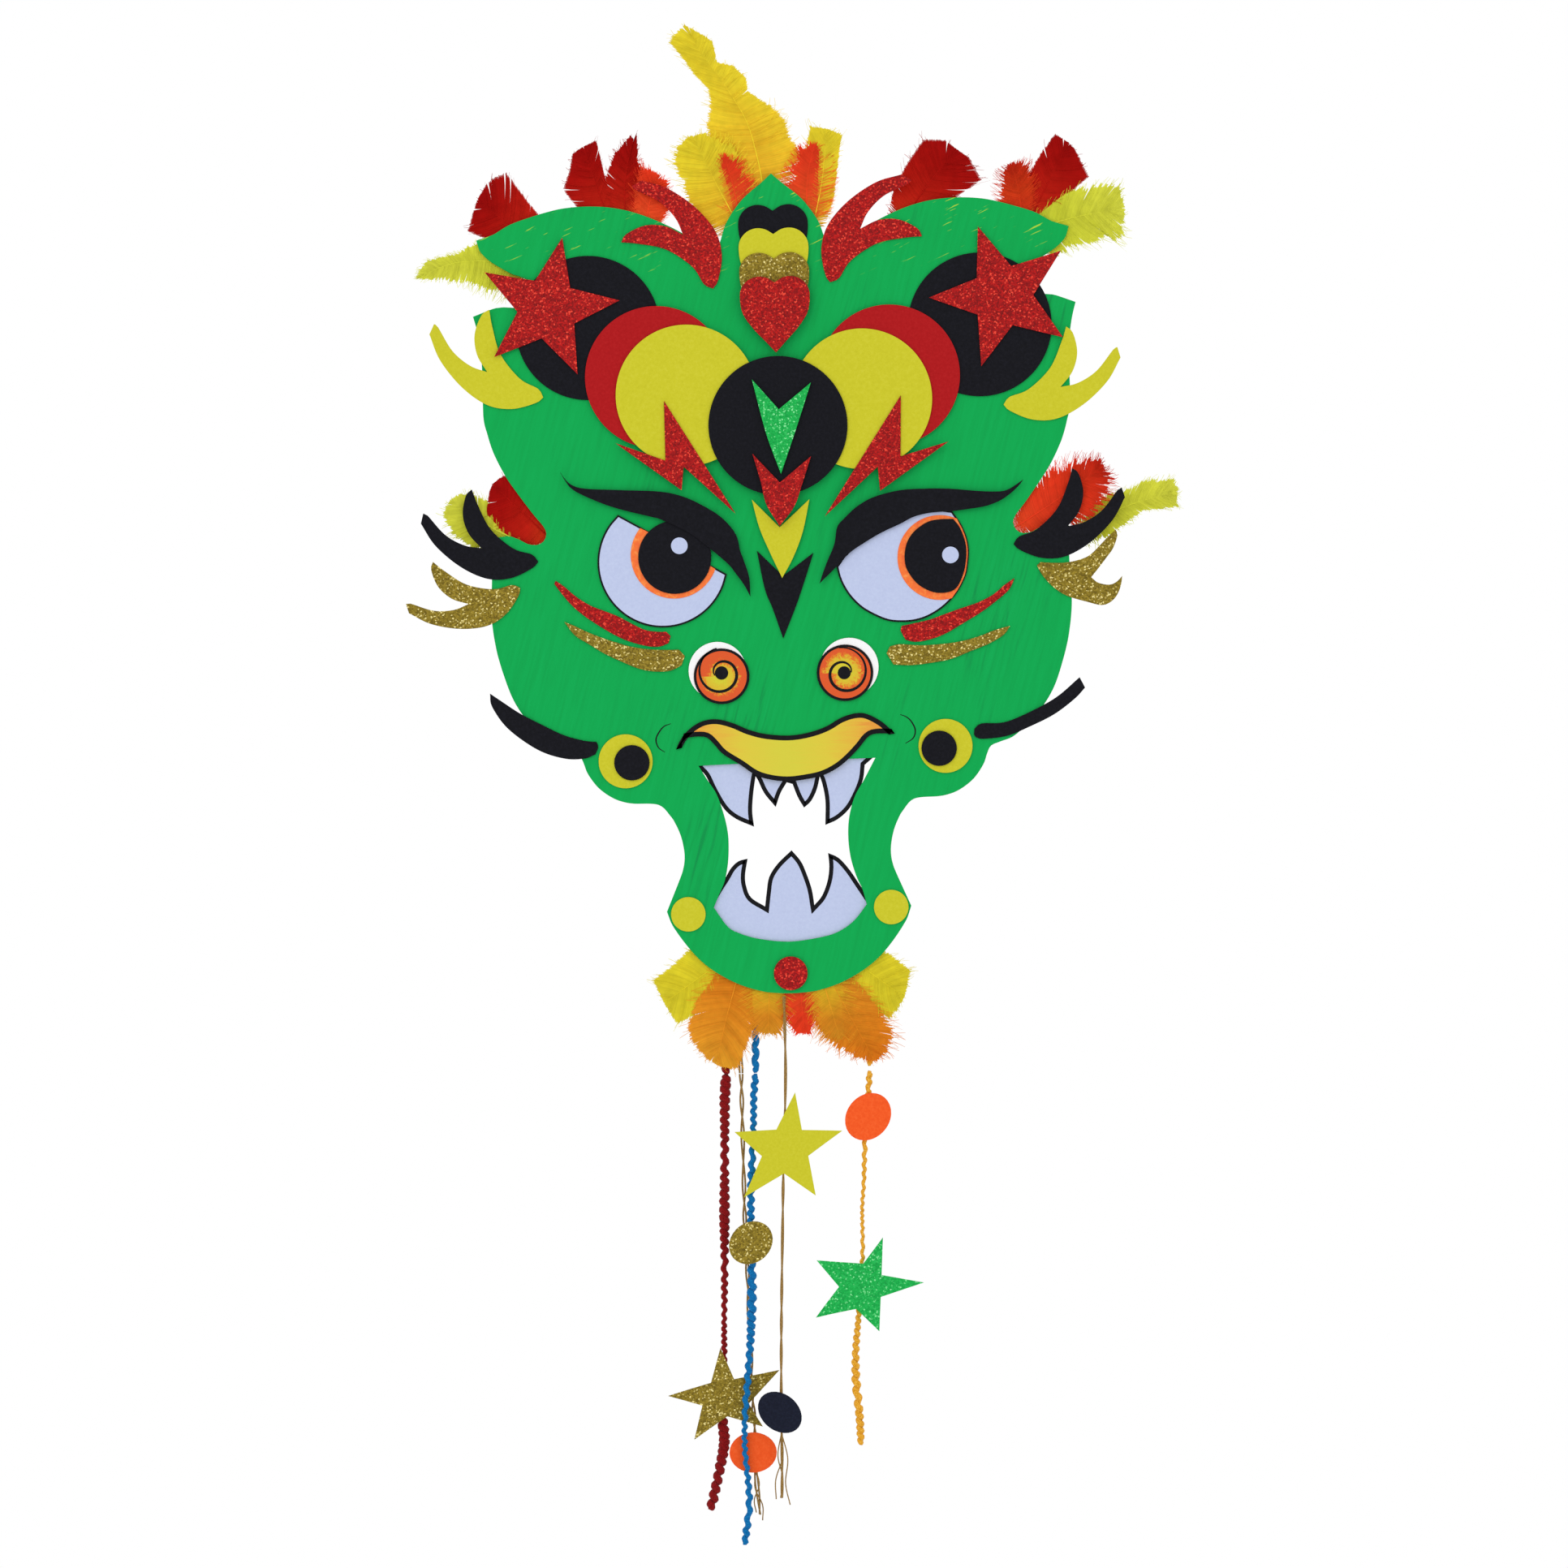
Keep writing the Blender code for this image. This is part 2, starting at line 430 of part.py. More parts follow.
def add_discs():
    paper("ear_disc_left", ellipse(-92, 160.5, 35.5, 35.5), 0, "black_card")
    paper("ear_disc_right", ellipse(101, 157.5, 35.4, 35.4), 0, "black_card")
    paper("red_brow_disc_left", ellipse(-59, 135.4, 35, 35), 1, "red_card")
    paper("red_brow_disc_right", ellipse(55.8, 133.5, 34.8, 34.8), 1, "red_card")
    paper("yellow_brow_disc_left", ellipse(-44.3, 126, 34.8, 34.8), 2, "yellow_card")
    paper("yellow_brow_disc_right", ellipse(42, 122.2, 34.6, 34.6), 2, "yellow_card")
    paper("forehead_disc", ellipse(0.4, 110, 34.2, 34.2), 3, "black_card")


def add_forehead():
    paper("ear_star_left", star(-111.5, 170.5, 35.6, 15, 77), 1, "red_glitter_foam")
    paper("ear_star_right", star(112.4, 171.2, 36.2, 15.3, 108), 1, "red_glitter_foam")
    paper("bolt_left", BOLT_LEFT, 3, "red_glitter_foam")
    paper("bolt_right", BOLT_RIGHT, 3, "red_glitter_foam")
    paper("chevron_green", CHEVRON_GREEN, 4, "green_glitter_foam")
    paper("chevron_red", CHEVRON_RED, 4, "red_glitter_foam")
    paper("chevron_yellow", CHEVRON_YELLOW, 1, "yellow_card")
    for name, (top, level, colour) in HEARTS.items():
        half = [(x, top + z) for x, z in HEART_HALF]
        outline = [(HEART_X + x, z) for x, z in mirrored_outline(half)]
        paper(name, outline, level, colour)


def add_cheeks():
    for name, (x, z, turn, scale, flipped, colour) in HORNS.items():
        paper(name, horn_outline(x, z, turn, scale, flipped), 0, colour)
    paper("gold_horn_right", GOLD_HORN_RIGHT, 0, "gold_glitter_foam")
    paper("whisker_left", WHISKER_LEFT, 0, "black_card")
    paper("whisker_right", WHISKER_RIGHT, 0, "black_card")
    paper("red_stripe_left", RED_STRIPE_LEFT, 0, "red_glitter_foam")
    paper("red_stripe_right", RED_STRIPE_RIGHT, 0, "red_glitter_foam")
    paper("gold_stripe_left", GOLD_STRIPE_LEFT, 0, "gold_glitter_foam")
    paper("gold_stripe_right", GOLD_STRIPE_RIGHT, 0, "gold_glitter_foam")


def add_mouth():
    paper("upper_lip", UPPER_LIP, 0, "lip_card")
    behind = BEHIND_CARD + PAPER_THICK
    plate("upper_teeth", UPPER_TEETH, behind, PAPER_THICK, "white_card")
    plate("lower_teeth", LOWER_TEETH, behind, PAPER_THICK, "white_card")


def add_feathers():
    clusters = {
        "crest_feathers": (CREST_FEATHERS, "yellow_feather"),
        "ear_feathers_left": (EAR_FEATHERS_LEFT, "red_feather"),
        "ear_feathers_right": (EAR_FEATHERS_RIGHT, "red_feather"),
        "cheek_feathers_left": (CHEEK_FEATHERS_LEFT, "red_feather"),
        "cheek_feathers_right": (CHEEK_FEATHERS_RIGHT, "red_feather"),
        "chin_feathers": (CHIN_FEATHERS, "orange_feather"),
    }
    for name, (outline, colour) in clusters.items():
        plate(name, outline, BEHIND_CARD + FEATHER_THICK, FEATHER_THICK, colour)


def curve_through(route, count):
    """This many points at equal steps along the smooth curve through the route's points."""
    fine = []
    steps = 12
    for i in range(len(route) - 1):
        here, there = Vector(route[i]), Vector(route[i + 1])
        before = Vector(route[i - 1]) if i else here * 2 - there
        after = Vector(route[i + 2]) if i + 2 < len(route) else there * 2 - here
        for k in range(steps):
            t = k / steps
            a = here * 2
            b = (there - before) * t
            c = (before * 2 - here * 5 + there * 4 - after) * t**2
            d = (here * 3 - before - there * 3 + after) * t**3
            fine.append((a + b + c + d) / 2)
    fine.append(Vector(route[-1]))
    run = [0.0]
    for i in range(1, len(fine)):
        run.append(run[-1] + (fine[i] - fine[i - 1]).length)
    made = []
    at = 0
    for i in range(count):
        want = run[-1] * i / (count - 1)
        while at < len(run) - 2 and run[at + 1] < want:
            at += 1
        share = (want - run[at]) / (run[at + 1] - run[at])
        made.append(fine[at].lerp(fine[at + 1], min(share, 1.0)))
    return made


def add_strand(name, route, radius, count, colour):
    """A round tube along the route. Its origin is where it hangs from."""
    curve = bpy.data.curves.new(name, "CURVE")
    curve.dimensions = "3D"
    curve.bevel_depth = radius * MM
    curve.bevel_resolution = 2
    curve.use_fill_caps = True
    spline = curve.splines.new("POLY")
    points = curve_through(route, count)
    spline.points.add(count - 1)
    pivot = Vector(route[0])
    for i, point in enumerate(points):
        spline.points[i].co = (*((point - pivot) * MM), 1.0)
    obj = add_object(name, curve, colour)
    obj.location = pivot * MM
    return obj


def tag(name, outline, back, colour, strand):
    """A flat tag glued on a strand. It moves with the strand, so it is its child."""
    obj = plate(name, outline, back, TAG_THICK, colour)
    obj.parent = strand
    obj.matrix_parent_inverse = Matrix.Translation(-strand.location)
    return obj


def add_strands():
    strands = {name: add_strand(name, *spec) for name, spec in STRANDS.items()}
    front = strands["front_gold_threads"]
    blue = strands["blue_yarn"]
    yellow = strands["yellow_yarn"]
    tag("star_tag_yellow", TAG_STAR_YELLOW, -1.9, "yellow_card", front)
    tag("disc_tag_navy", ellipse(-10.7, -375.6, 11.8, 9, -40), -1.9, "navy_card", front)
    tag("disc_tag_gold", ellipse(-22.9, -291.8, 11.5, 9.8, 40), -1.5, "gold_glitter_foam", blue)
    tag("disc_tag_orange_left", ellipse(-24.4, -396, 11.7, 9.9), 4.5, "orange_card", blue)
    tag("star_tag_gold", TAG_STAR_GOLD, 4.5, "gold_glitter_foam", strands["red_yarn"])
    tag("disc_tag_orange_right", ellipse(36.4, -231.4, 12.5, 10.5, 48), 1.3, "orange_card", yellow)
    tag("star_tag_green", TAG_STAR_GREEN, 1.3, "green_glitter_foam", yellow)


def main():
    clear_scene()
    face_card()
    add_discs()
    add_forehead()
    add_eyes()
    add_mouth()
    add_cheeks()
    add_feathers()
    add_strands()


main()
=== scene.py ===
# %% [markdown]
# # A dragon face kite of painted card
#
# The kite is one sheet of card, painted green, with shapes cut from dyed card and glitter foam glued on in
# layers. Dyed feathers are glued behind its edges, and five strands with card tags hang from the chin. The
# frame holds every piece at its true size and place. Here each one gets its real edge and finish.

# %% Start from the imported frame
import json
import math
import random

import bmesh
import bpy
from mathutils import Matrix, Vector


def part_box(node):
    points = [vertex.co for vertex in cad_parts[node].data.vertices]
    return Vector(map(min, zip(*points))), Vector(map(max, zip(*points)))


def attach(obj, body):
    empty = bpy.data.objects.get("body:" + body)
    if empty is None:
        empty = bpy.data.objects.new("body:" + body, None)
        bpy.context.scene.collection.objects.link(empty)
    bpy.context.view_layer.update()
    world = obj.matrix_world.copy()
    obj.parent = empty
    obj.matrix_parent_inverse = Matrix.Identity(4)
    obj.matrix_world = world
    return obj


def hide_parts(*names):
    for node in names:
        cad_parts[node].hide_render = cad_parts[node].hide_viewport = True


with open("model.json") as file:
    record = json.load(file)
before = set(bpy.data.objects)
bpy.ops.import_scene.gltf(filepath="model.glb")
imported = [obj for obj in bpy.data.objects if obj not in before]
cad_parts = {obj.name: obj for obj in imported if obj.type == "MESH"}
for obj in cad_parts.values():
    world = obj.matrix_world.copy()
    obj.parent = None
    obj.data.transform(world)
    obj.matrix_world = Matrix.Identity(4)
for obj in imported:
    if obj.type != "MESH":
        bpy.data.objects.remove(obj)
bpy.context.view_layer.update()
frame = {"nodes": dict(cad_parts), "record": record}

MM = 0.001

# %% [markdown]
# ## Camera
#
# A flat kite is seen best straight on. A long lens from about two metres keeps the card's outline true. The
# card hangs turned by about a degree and a half, so the camera is turned as much, and the kite isn't.

# %% Place the camera
LENS_MM = 100.0
SENSOR_MM = 36.0
VIEW_WIDTH = 0.7728
ROLL = math.radians(1.42)
AIM = Vector((-0.001, 0.0, -0.0664))


def add_camera():
    data = bpy.data.cameras.new("camera")
    data.lens = LENS_MM
    data.sensor_width = SENSOR_MM
    camera = bpy.data.objects.new("camera", data)
    bpy.context.scene.collection.objects.link(camera)
    right = Vector((math.cos(ROLL), 0.0, -math.sin(ROLL)))
    up = Vector((math.sin(ROLL), 0.0, math.cos(ROLL)))
    back = Vector((0.0, -1.0, 0.0))
    turn = Matrix((right, up, back)).transposed().to_4x4()
    distance = VIEW_WIDTH * LENS_MM / SENSOR_MM
    camera.matrix_world = Matrix.Translation(AIM + back * distance) @ turn
    bpy.context.scene.camera = camera
    return distance


print("the camera stands", round(add_camera(), 3), "m away")

# %% [markdown]
# ## Colour and node helpers
#
# Paint charts and dye cards give colours as sRGB hex values, and shaders work in linear light, so one
# function turns the first into the second. One more adds a node with its settings and links. The others
# start and end a material, and make one that a single noise can colour.

# %% Turn a hex colour into linear light
def linear(code):
    out = []
    for i in (1, 3, 5):
        value = int(code[i : i + 2], 16) / 255
        out.append(value / 12.92 if value <= 0.04045 else ((value + 0.055) / 1.055) ** 2.4)
    return (*out, 1.0)


# %% Add a node
def add(tree, kind, links=None, values=None, stops=(), **settings):
    """A new shader node. links, as (node, output), and values go on its inputs, and stops on its ramp."""
    made = tree.nodes.new("ShaderNode" + kind)
    for name, value in settings.items():
        setattr(made, name, value)
    for name, value in (values or {}).items():
        made.inputs[name].default_value = value
    for name, (source, output) in (links or {}).items():
        tree.links.new(source.outputs[output], made.inputs[name])
    while stops and len(made.color_ramp.elements) < len(stops):
        made.color_ramp.elements.new(0.5)
    for i, (place, code) in enumerate(stops):
        made.color_ramp.elements[i].position = place
        made.color_ramp.elements[i].color = linear(code)
    return made


# %% Start and end a material
def start_material(name, **uniform):
    """A material whose even values sit on the shader itself, and the output that says where a point is."""
    made = bpy.data.materials.new(name)
    made.use_nodes = True
    tree = made.node_tree
    shader = tree.nodes["Principled BSDF"]
    for key, value in uniform.items():
        shader.inputs[key.replace("_", " ")].default_value = value
    return made, tree, shader, (add(tree, "TexCoord"), "Object")


def surface(tree, shader, colour, height, depth_mm, strength=1.0):
    """Gives the shader a colour, and relief as deep as the real surface has, each from a (node, output)."""
    relief = add(tree, "Bump", {"Height": height}, {"Strength": strength, "Distance": depth_mm * MM})
    tree.links.new(relief.outputs["Normal"], shader.inputs["Normal"])
    tree.links.new(colour[0].outputs[colour[1]], shader.inputs["Base Color"])


def mottled(name, size_mm, noise, stops, depth_mm, **uniform):
    """A finish whose colour and relief both follow one noise of this size. noise is its other settings."""
    made, tree, shader, place = start_material(name, **uniform)
    grain = add(tree, "TexNoise", {"Vector": place}, {"Scale": 1 / (size_mm * MM), **noise})
    colour = add(tree, "ValToRGB", {"Fac": (grain, "Fac")}, stops=stops)
    surface(tree, shader, (colour, "Color"), (grain, "Fac"), depth_mm)
    return made


# %% [markdown]
# ## Cords: the route each strand takes
#
# The yarns and threads come first. Each is a fixed length of something limp that hangs by its own weight.
# Its route is a short list of given points, and a smooth curve runs through them. The yarn itself
# is crinkled: it winds round that curve like a spring that was pulled out.

# %% Write the routes down, in millimetres
RED_YARN_ROUTE = [
    (-33.0, 3.6, -209), (-34, 3.9, -220), (-34.6, 4.6, -241), (-35, 5.3, -256), (-35.7, 6.4, -278),
    (-36.2, 7.3, -302), (-36.7, 7.8, -318), (-37.3, 7.8, -336), (-37.6, 7.8, -349), (-38.6, 7.8, -362),
    (-39.3, 7.8, -378), (-38.6, 7.8, -391), (-41.1, 7.8, -404), (-44.0, 7.8, -416), (-46.2, 7.8, -424.5),
]
BLUE_YARN_ROUTE = [
    (-18.6, 3.6, -209), (-19.7, 2.6, -220), (-20.2, 1.4, -234), (-21.1, 1.0, -249), (-22.1, 1.0, -263),
    (-22.6, 1.0, -279), (-22.8, 1.0, -296), (-22.9, 1.0, -313), (-24, 1.0, -336), (-26, 1.0, -358),
    (-27.8, 1.0, -376), (-28.4, 1.0, -393), (-27.1, 1.0, -411), (-26.9, 1.0, -422), (-28.9, 1.0, -436),
    (-29.6, 1.0, -441),
]
BACK_THREAD_ROUTE = [
    (-25.7, 3.6, -209), (-25.7, 3.9, -225), (-25.7, 4.5, -245), (-25.7, 5.1, -265), (-25.7, 5.5, -281),
    (-25.1, 6.0, -304), (-24.8, 6.2, -325), (-24.4, 6.2, -347), (-24, 6.2, -369), (-23.3, 6.2, -387),
    (-23.3, 6.2, -407), (-22.4, 6.2, -418), (-21.8, 6.2, -427),
]
FRONT_THREAD_ROUTE = [
    (-3.6, -0.8, -171), (-3.6, -0.8, -190), (-3.7, -0.8, -206), (-4.3, -0.8, -223), (-5.2, -0.8, -241),
    (-6.1, -0.8, -259), (-6.8, -0.8, -277), (-7.5, -0.8, -295), (-8.2, -0.8, -313), (-9, -0.8, -336),
    (-9.6, -0.8, -358), (-10, -0.8, -378), (-10.2, -0.8, -400), (-10.7, -0.8, -418),
]
YELLOW_YARN_ROUTE = [
    (37.8, 3.6, -209), (36.9, 3.6, -219), (34.6, 3.6, -244), (33.6, 3.6, -263), (32.4, 3.6, -277),
    (32.0, 3.6, -300), (29.6, 3.6, -327), (27.5, 3.6, -347), (27.3, 3.6, -362), (28.6, 3.6, -380),
    (28.9, 3.6, -393.5),
]

# %% Run a smooth curve through a route
def on_curve(before, here, there, after, t):
    """A place from here (t = 0) to there (t = 1), on a smooth curve through all four."""
    bend = (before * 2 - here * 5 + there * 4 - after) * t**2
    twist = (here * 3 - before - there * 3 + after) * t**3
    return (here * 2 + (there - before) * t + bend + twist) / 2


def spline_through(route, step):
    """Points about this far apart along the smooth curve through the route's points."""
    route = [Vector(p) for p in route]
    fine = []
    for i in range(len(route) - 1):
        here, there = route[i], route[i + 1]
        before = route[i - 1] if i else here * 2 - there
        after = route[i + 2] if i + 2 < len(route) else there * 2 - here
        count = max(2, round((there - here).length / step))
        fine += [on_curve(before, here, there, after, k / count) for k in range(count)]
    fine.append(route[-1])
    return fine


def run_length(points):
    return sum((b - a).length for a, b in zip(points, points[1:]))


print("the red yarn's curve is", round(run_length(spline_through(RED_YARN_ROUTE, 2.0)), 1), "mm long")

# %% [markdown]
# ## Sweeping a tube
#
# A curve object with a bevel would do for a plain cord. A crinkled yarn changes width along its length and
# ends in a rounded tip, so its skin is built ring by ring with bmesh, which keeps it one closed mesh.

# %% Sweep rings along a line
RING_SIDES = 8


def sweep(bm, points, radii, sides=RING_SIDES):
    """Adds one closed tube along the points, with its own radius at each, all in millimetres."""
    rings = []
    side = Vector((1.0, 0.0, 0.0))
    for i, point in enumerate(points):
        ahead = points[min(i + 1, len(points) - 1)] - points[max(i - 1, 0)]
        ahead.normalize()
        side = side - ahead * side.dot(ahead)
        if side.length < 1e-6:
            side = ahead.orthogonal()
        side.normalize()
        other = ahead.cross(side)
        ring = []
        for k in range(sides):
            angle = 2 * math.pi * k / sides
            reach = side * math.cos(angle) + other * math.sin(angle)
            ring.append(bm.verts.new((point + reach * radii[i]) * MM))
        rings.append(ring)
    for low, high in zip(rings, rings[1:]):
        for k in range(sides):
            bm.faces.new((low[k - 1], low[k], high[k], high[k - 1]))
    bm.faces.new(list(reversed(rings[0])))
    bm.faces.new(rings[-1])


def finish_mesh(name, bm, material, smooth=True, closed=True):
    if closed:
        bmesh.ops.recalc_face_normals(bm, faces=bm.faces)
    mesh = bpy.data.meshes.new(name)
    bm.to_mesh(mesh)
    bm.free()
    mesh.polygons.foreach_set("use_smooth", [smooth] * len(mesh.polygons))
    obj = bpy.data.objects.new(name, mesh)
    bpy.context.scene.collection.objects.link(obj)
    mesh.materials.append(material)
    return obj


def belongs(piece, body, node=None):
    """Rides a piece on its body and, where it stands for a CAD node, hides that node."""
    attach(piece, body)
    if node:
        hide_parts(node)


# %% [markdown]
# ## Yarn and thread finishes
#
# Crinkle yarn is acrylic, dull and soft, with fine fibres that catch light at a grazing angle. A faint
# sheen does that. The gold thread is as dull, and differs only in colour. Fibres lie 0.3 mm apart, and are
# drawn at 0.6 mm so that they show.

# %% Spin the yarns' material
FIBRE_MM = 0.6
FIBRE_DEPTH_MM = 0.35


def crinkle_yarn(name, shade, middle, light):
    fibre = {"Detail": 3.0, "Roughness": 0.6}
    stops = [(0.28, shade), (0.52, middle), (0.78, light)]
    dull = {"Roughness": 0.85, "Specular_IOR_Level": 0.1, "Sheen_Weight": 0.06}
    return mottled(name, FIBRE_MM, fibre, stops, FIBRE_DEPTH_MM, **dull)


RED_YARN = crinkle_yarn("red_crinkle_yarn", "#5c070a", "#860d11", "#a51a1c")
BLUE_YARN = crinkle_yarn("blue_crinkle_yarn", "#03558f", "#066fb0", "#1f8cc8")
YELLOW_YARN = crinkle_yarn("yellow_crinkle_yarn", "#c37f14", "#ecaa2c", "#f7cf6b")
GOLD_THREAD = crinkle_yarn("waxed_gold_thread", "#74572c", "#9c7a42", "#bf9c60")
print("yarns dyed")

# %% [markdown]
# ## The crinkled yarns
#
# Each turn of the crinkle is 4 to 5.5 mm long. The yarn's core winds round the route, thinner where it was
# pulled. A few loose fibres stand out along it, because a skin that is too clean looks like wire.

# %% Wind the yarn round its route
POINTS_PER_TURN = 10
# The core's radius against the yarn's width, then how its turns ease in and its ends taper.
CORE_SHARE = 0.36
EASE_MM = 4.0
TIP_MM = 3.0
TIP_SHARE = 0.55
# How long the drifts in its pitch and its thickness are.
SLOW_WAVE_MM = 9
QUICK_WAVE_MM = 4.1
# The loose fibres.
HAIRS_PER_MM = 0.8
HAIR_MM = 0.55
HAIR_RADII = [0.09, 0.08, 0.05]


def at_share(values, share):
    """A value read from an even list of values, at this share of its length."""
    place = max(0.0, min(0.9999, share)) * (len(values) - 1)
    low = int(place)
    return values[low] + (values[low + 1] - values[low]) * (place - low)


def crinkled(name, route, width, pitch, material, seed, swells=(1.0, 1.0)):
    """A yarn of this outer width that winds round the route's curve, and the curve itself.

    swells says how wide it is against that width, from its top to its end.
    """
    chance = random.Random(seed)
    line = spline_through(route, pitch / POINTS_PER_TURN)
    length = run_length(line)
    core = width * CORE_SHARE
    points, radii = [], []
    phase = chance.uniform(0, math.tau)
    run = 0.0
    for i, centre in enumerate(line):
        if i:
            run += (line[i] - line[i - 1]).length
        drift = 0.25 * math.sin(run / SLOW_WAVE_MM) + 0.15 * math.sin(run / QUICK_WAVE_MM + seed)
        phase += math.tau / POINTS_PER_TURN * (1 + drift)
        ease = min(1.0, run / EASE_MM, (length - run) / EASE_MM)
        pulled = at_share(swells, run / length) * (0.94 + 0.06 * math.sin(run / SLOW_WAVE_MM + seed))
        reach = (width / 2 - core) * ease * pulled
        points.append(centre + Vector((math.cos(phase), math.sin(phase), 0)) * reach)
        lump = 1 + 0.10 * math.sin(phase * 2 + seed)
        tip = min(1.0, TIP_SHARE + run / TIP_MM, TIP_SHARE + (length - run) / TIP_MM)
        radii.append(core * pulled * lump * tip)
    bm = bmesh.new()
    sweep(bm, points, radii)
    for _ in range(int(length * HAIRS_PER_MM)):
        at = chance.randrange(2, len(points) - 2)
        out = Vector((chance.uniform(-1, 1), chance.uniform(-1, 1), chance.uniform(-0.6, 0.6))).normalized()
        root = points[at] + out * radii[at] * 0.8
        hook = root + out * HAIR_MM + Vector((0, 0, chance.uniform(-0.5, 0.5)))
        sweep(bm, [root, (root + hook) / 2 + out * 0.15, hook], HAIR_RADII, 3)
    return finish_mesh(name, bm, material), line


def hang(piece, line, node, width, body):
    """Rides a free cord on its body in place of its CAD solid, and prints its length and width."""
    belongs(piece, body, node)
    print(node, "is", round(run_length(line), 1), "mm long and", width, "mm wide")


# %% [markdown]
# ## The gold threads
#
# Each of these is a pair of thin threads, loosely laid together. They part and close again as they fall,
# and below the last knot they fray into single ends.

# %% Lay two threads side by side
THREAD_RADIUS = 0.48
THREAD_STEP_MM = 1.6
# How unevenly the pair winds, and how its frayed ends sway.
WANDER = 0.8
WANDER_MM = 13
FRAY_RADIUS = 0.32
FRAY_STEP_MM = 1.2
FRAY_SWAY_MM = 1.6


def thread_pair(name, route, width, lay_mm):
    """Two threads that wind round the route's curve once in each lay_mm, and the curve itself."""
    line = spline_through(route, THREAD_STEP_MM)
    bm = bmesh.new()
    reach = width / 2 - THREAD_RADIUS
    for half in (0, math.pi):
        points = []
        run = 0.0
        for i, centre in enumerate(line):
            if i:
                run += (line[i] - line[i - 1]).length
            angle = half + run / lay_mm * math.tau + WANDER * math.sin(run / WANDER_MM)
            points.append(centre + Vector((math.cos(angle), math.sin(angle), 0)) * reach)
        sweep(bm, points, [THREAD_RADIUS] * len(points), 6)
    return finish_mesh(name, bm, GOLD_THREAD), line


def fray(name, start, ends, body):
    """Single thread ends that spread below the pair."""
    bm = bmesh.new()
    for i, end in enumerate(ends):
        top, tip = Vector(start), Vector(end)
        sway = Vector((FRAY_SWAY_MM * (-1) ** i, -0.6 * i, 0))
        knots = [top, top.lerp(tip, 0.35) + sway, top.lerp(tip, 0.7) - sway * 0.6, tip]
        line = spline_through([tuple(k) for k in knots], FRAY_STEP_MM)
        sweep(bm, line, [FRAY_RADIUS] * len(line), 5)
    piece = finish_mesh(name, bm, GOLD_THREAD)
    belongs(piece, body)
    return piece


# %% [markdown]
# ## Card, foam and paint finishes
#
# Dyed craft card is matt and fibrous. Its fibres are too fine to show, so clumps of them are drawn, 1.4 mm
# across. Glitter foam is a sheet with plastic flakes bonded on: each flake faces its own way, so neighbours
# differ sharply in brightness. That brightness is painted into the flakes' colour: the foam's own colour,
# with its brightest flakes and rare flashes as painted glints. Flakes are 0.4 mm, drawn at 0.7 mm so that
# they show from two metres.

# %% Dye the card
CARD_FIBRE_MM = 1.4
CARD_DEPTH_MM = 0.05


def dyed_card(name, deep, even, pale, roughness=0.82):
    pulp = {"Detail": 5.0, "Roughness": 0.65}
    stops = [(0.2, deep), (0.5, even), (0.85, pale)]
    matt = {"Roughness": roughness, "Specular_IOR_Level": 0.12}
    return mottled(name, CARD_FIBRE_MM, pulp, stops, CARD_DEPTH_MM, **matt)


# %% Bond the glitter on
FLAKE_MM = 0.7


def glitter_foam(name, deep, even, painted_bright, painted_glint):
    made, tree, shader, place = start_material(name, Specular_IOR_Level=0.15)
    flakes = add(tree, "TexVoronoi", {"Vector": place}, {"Scale": 1 / (FLAKE_MM * MM), "Randomness": 1.0})
    parts = add(tree, "SeparateColor", {"Color": (flakes, "Color")})
    # Each flake's brightness is painted into its colour. The two brightest stops are painted glints, as if
    # the flake caught the light.
    stops = [(0.0, deep), (0.45, even), (0.88, painted_bright), (0.97, painted_glint)]
    colour = add(tree, "ValToRGB", {"Fac": (parts, "Red")}, stops=stops)
    gloss = add(tree, "MapRange", {"Value": (parts, "Green")}, {"To Min": 0.2, "To Max": 0.65})
    tree.links.new(gloss.outputs["Result"], shader.inputs["Roughness"])
    surface(tree, shader, (colour, "Color"), (parts, "Blue"), 0.25, 0.7)
    return made


# %% [markdown]
# ## Brushed poster paint
#
# The green is poster paint, brushed on by hand in long strokes. Where the brush ran dry the strokes show
# darker, and near the ears a dry brush left thin yellow scratches. Strokes are about 2 mm wide and 35 mm
# long, and the scratches 1 mm wide and 16 mm long.

# %% Brush the paint on
STROKE_WIDTH_MM = 2.2
STROKE_LENGTH_MM = 34.0
STROKE_TURN = math.radians(16)
PAINT_DEPTH_MM = 0.06
DRY_PATCH_MM = 62.5
SCRATCH_WIDTH_MM = 1.1
SCRATCH_LENGTH_MM = 16.0
SCRATCH_TURN = math.radians(-24)
SCRATCH_LOW_Z = 0.180
SCRATCH_FULL_Z = 0.205
# A colour mix node has its two colours on inputs 6 and 7, and its result on output 2.
MIX_A, MIX_B, MIXED = 6, 7, 2


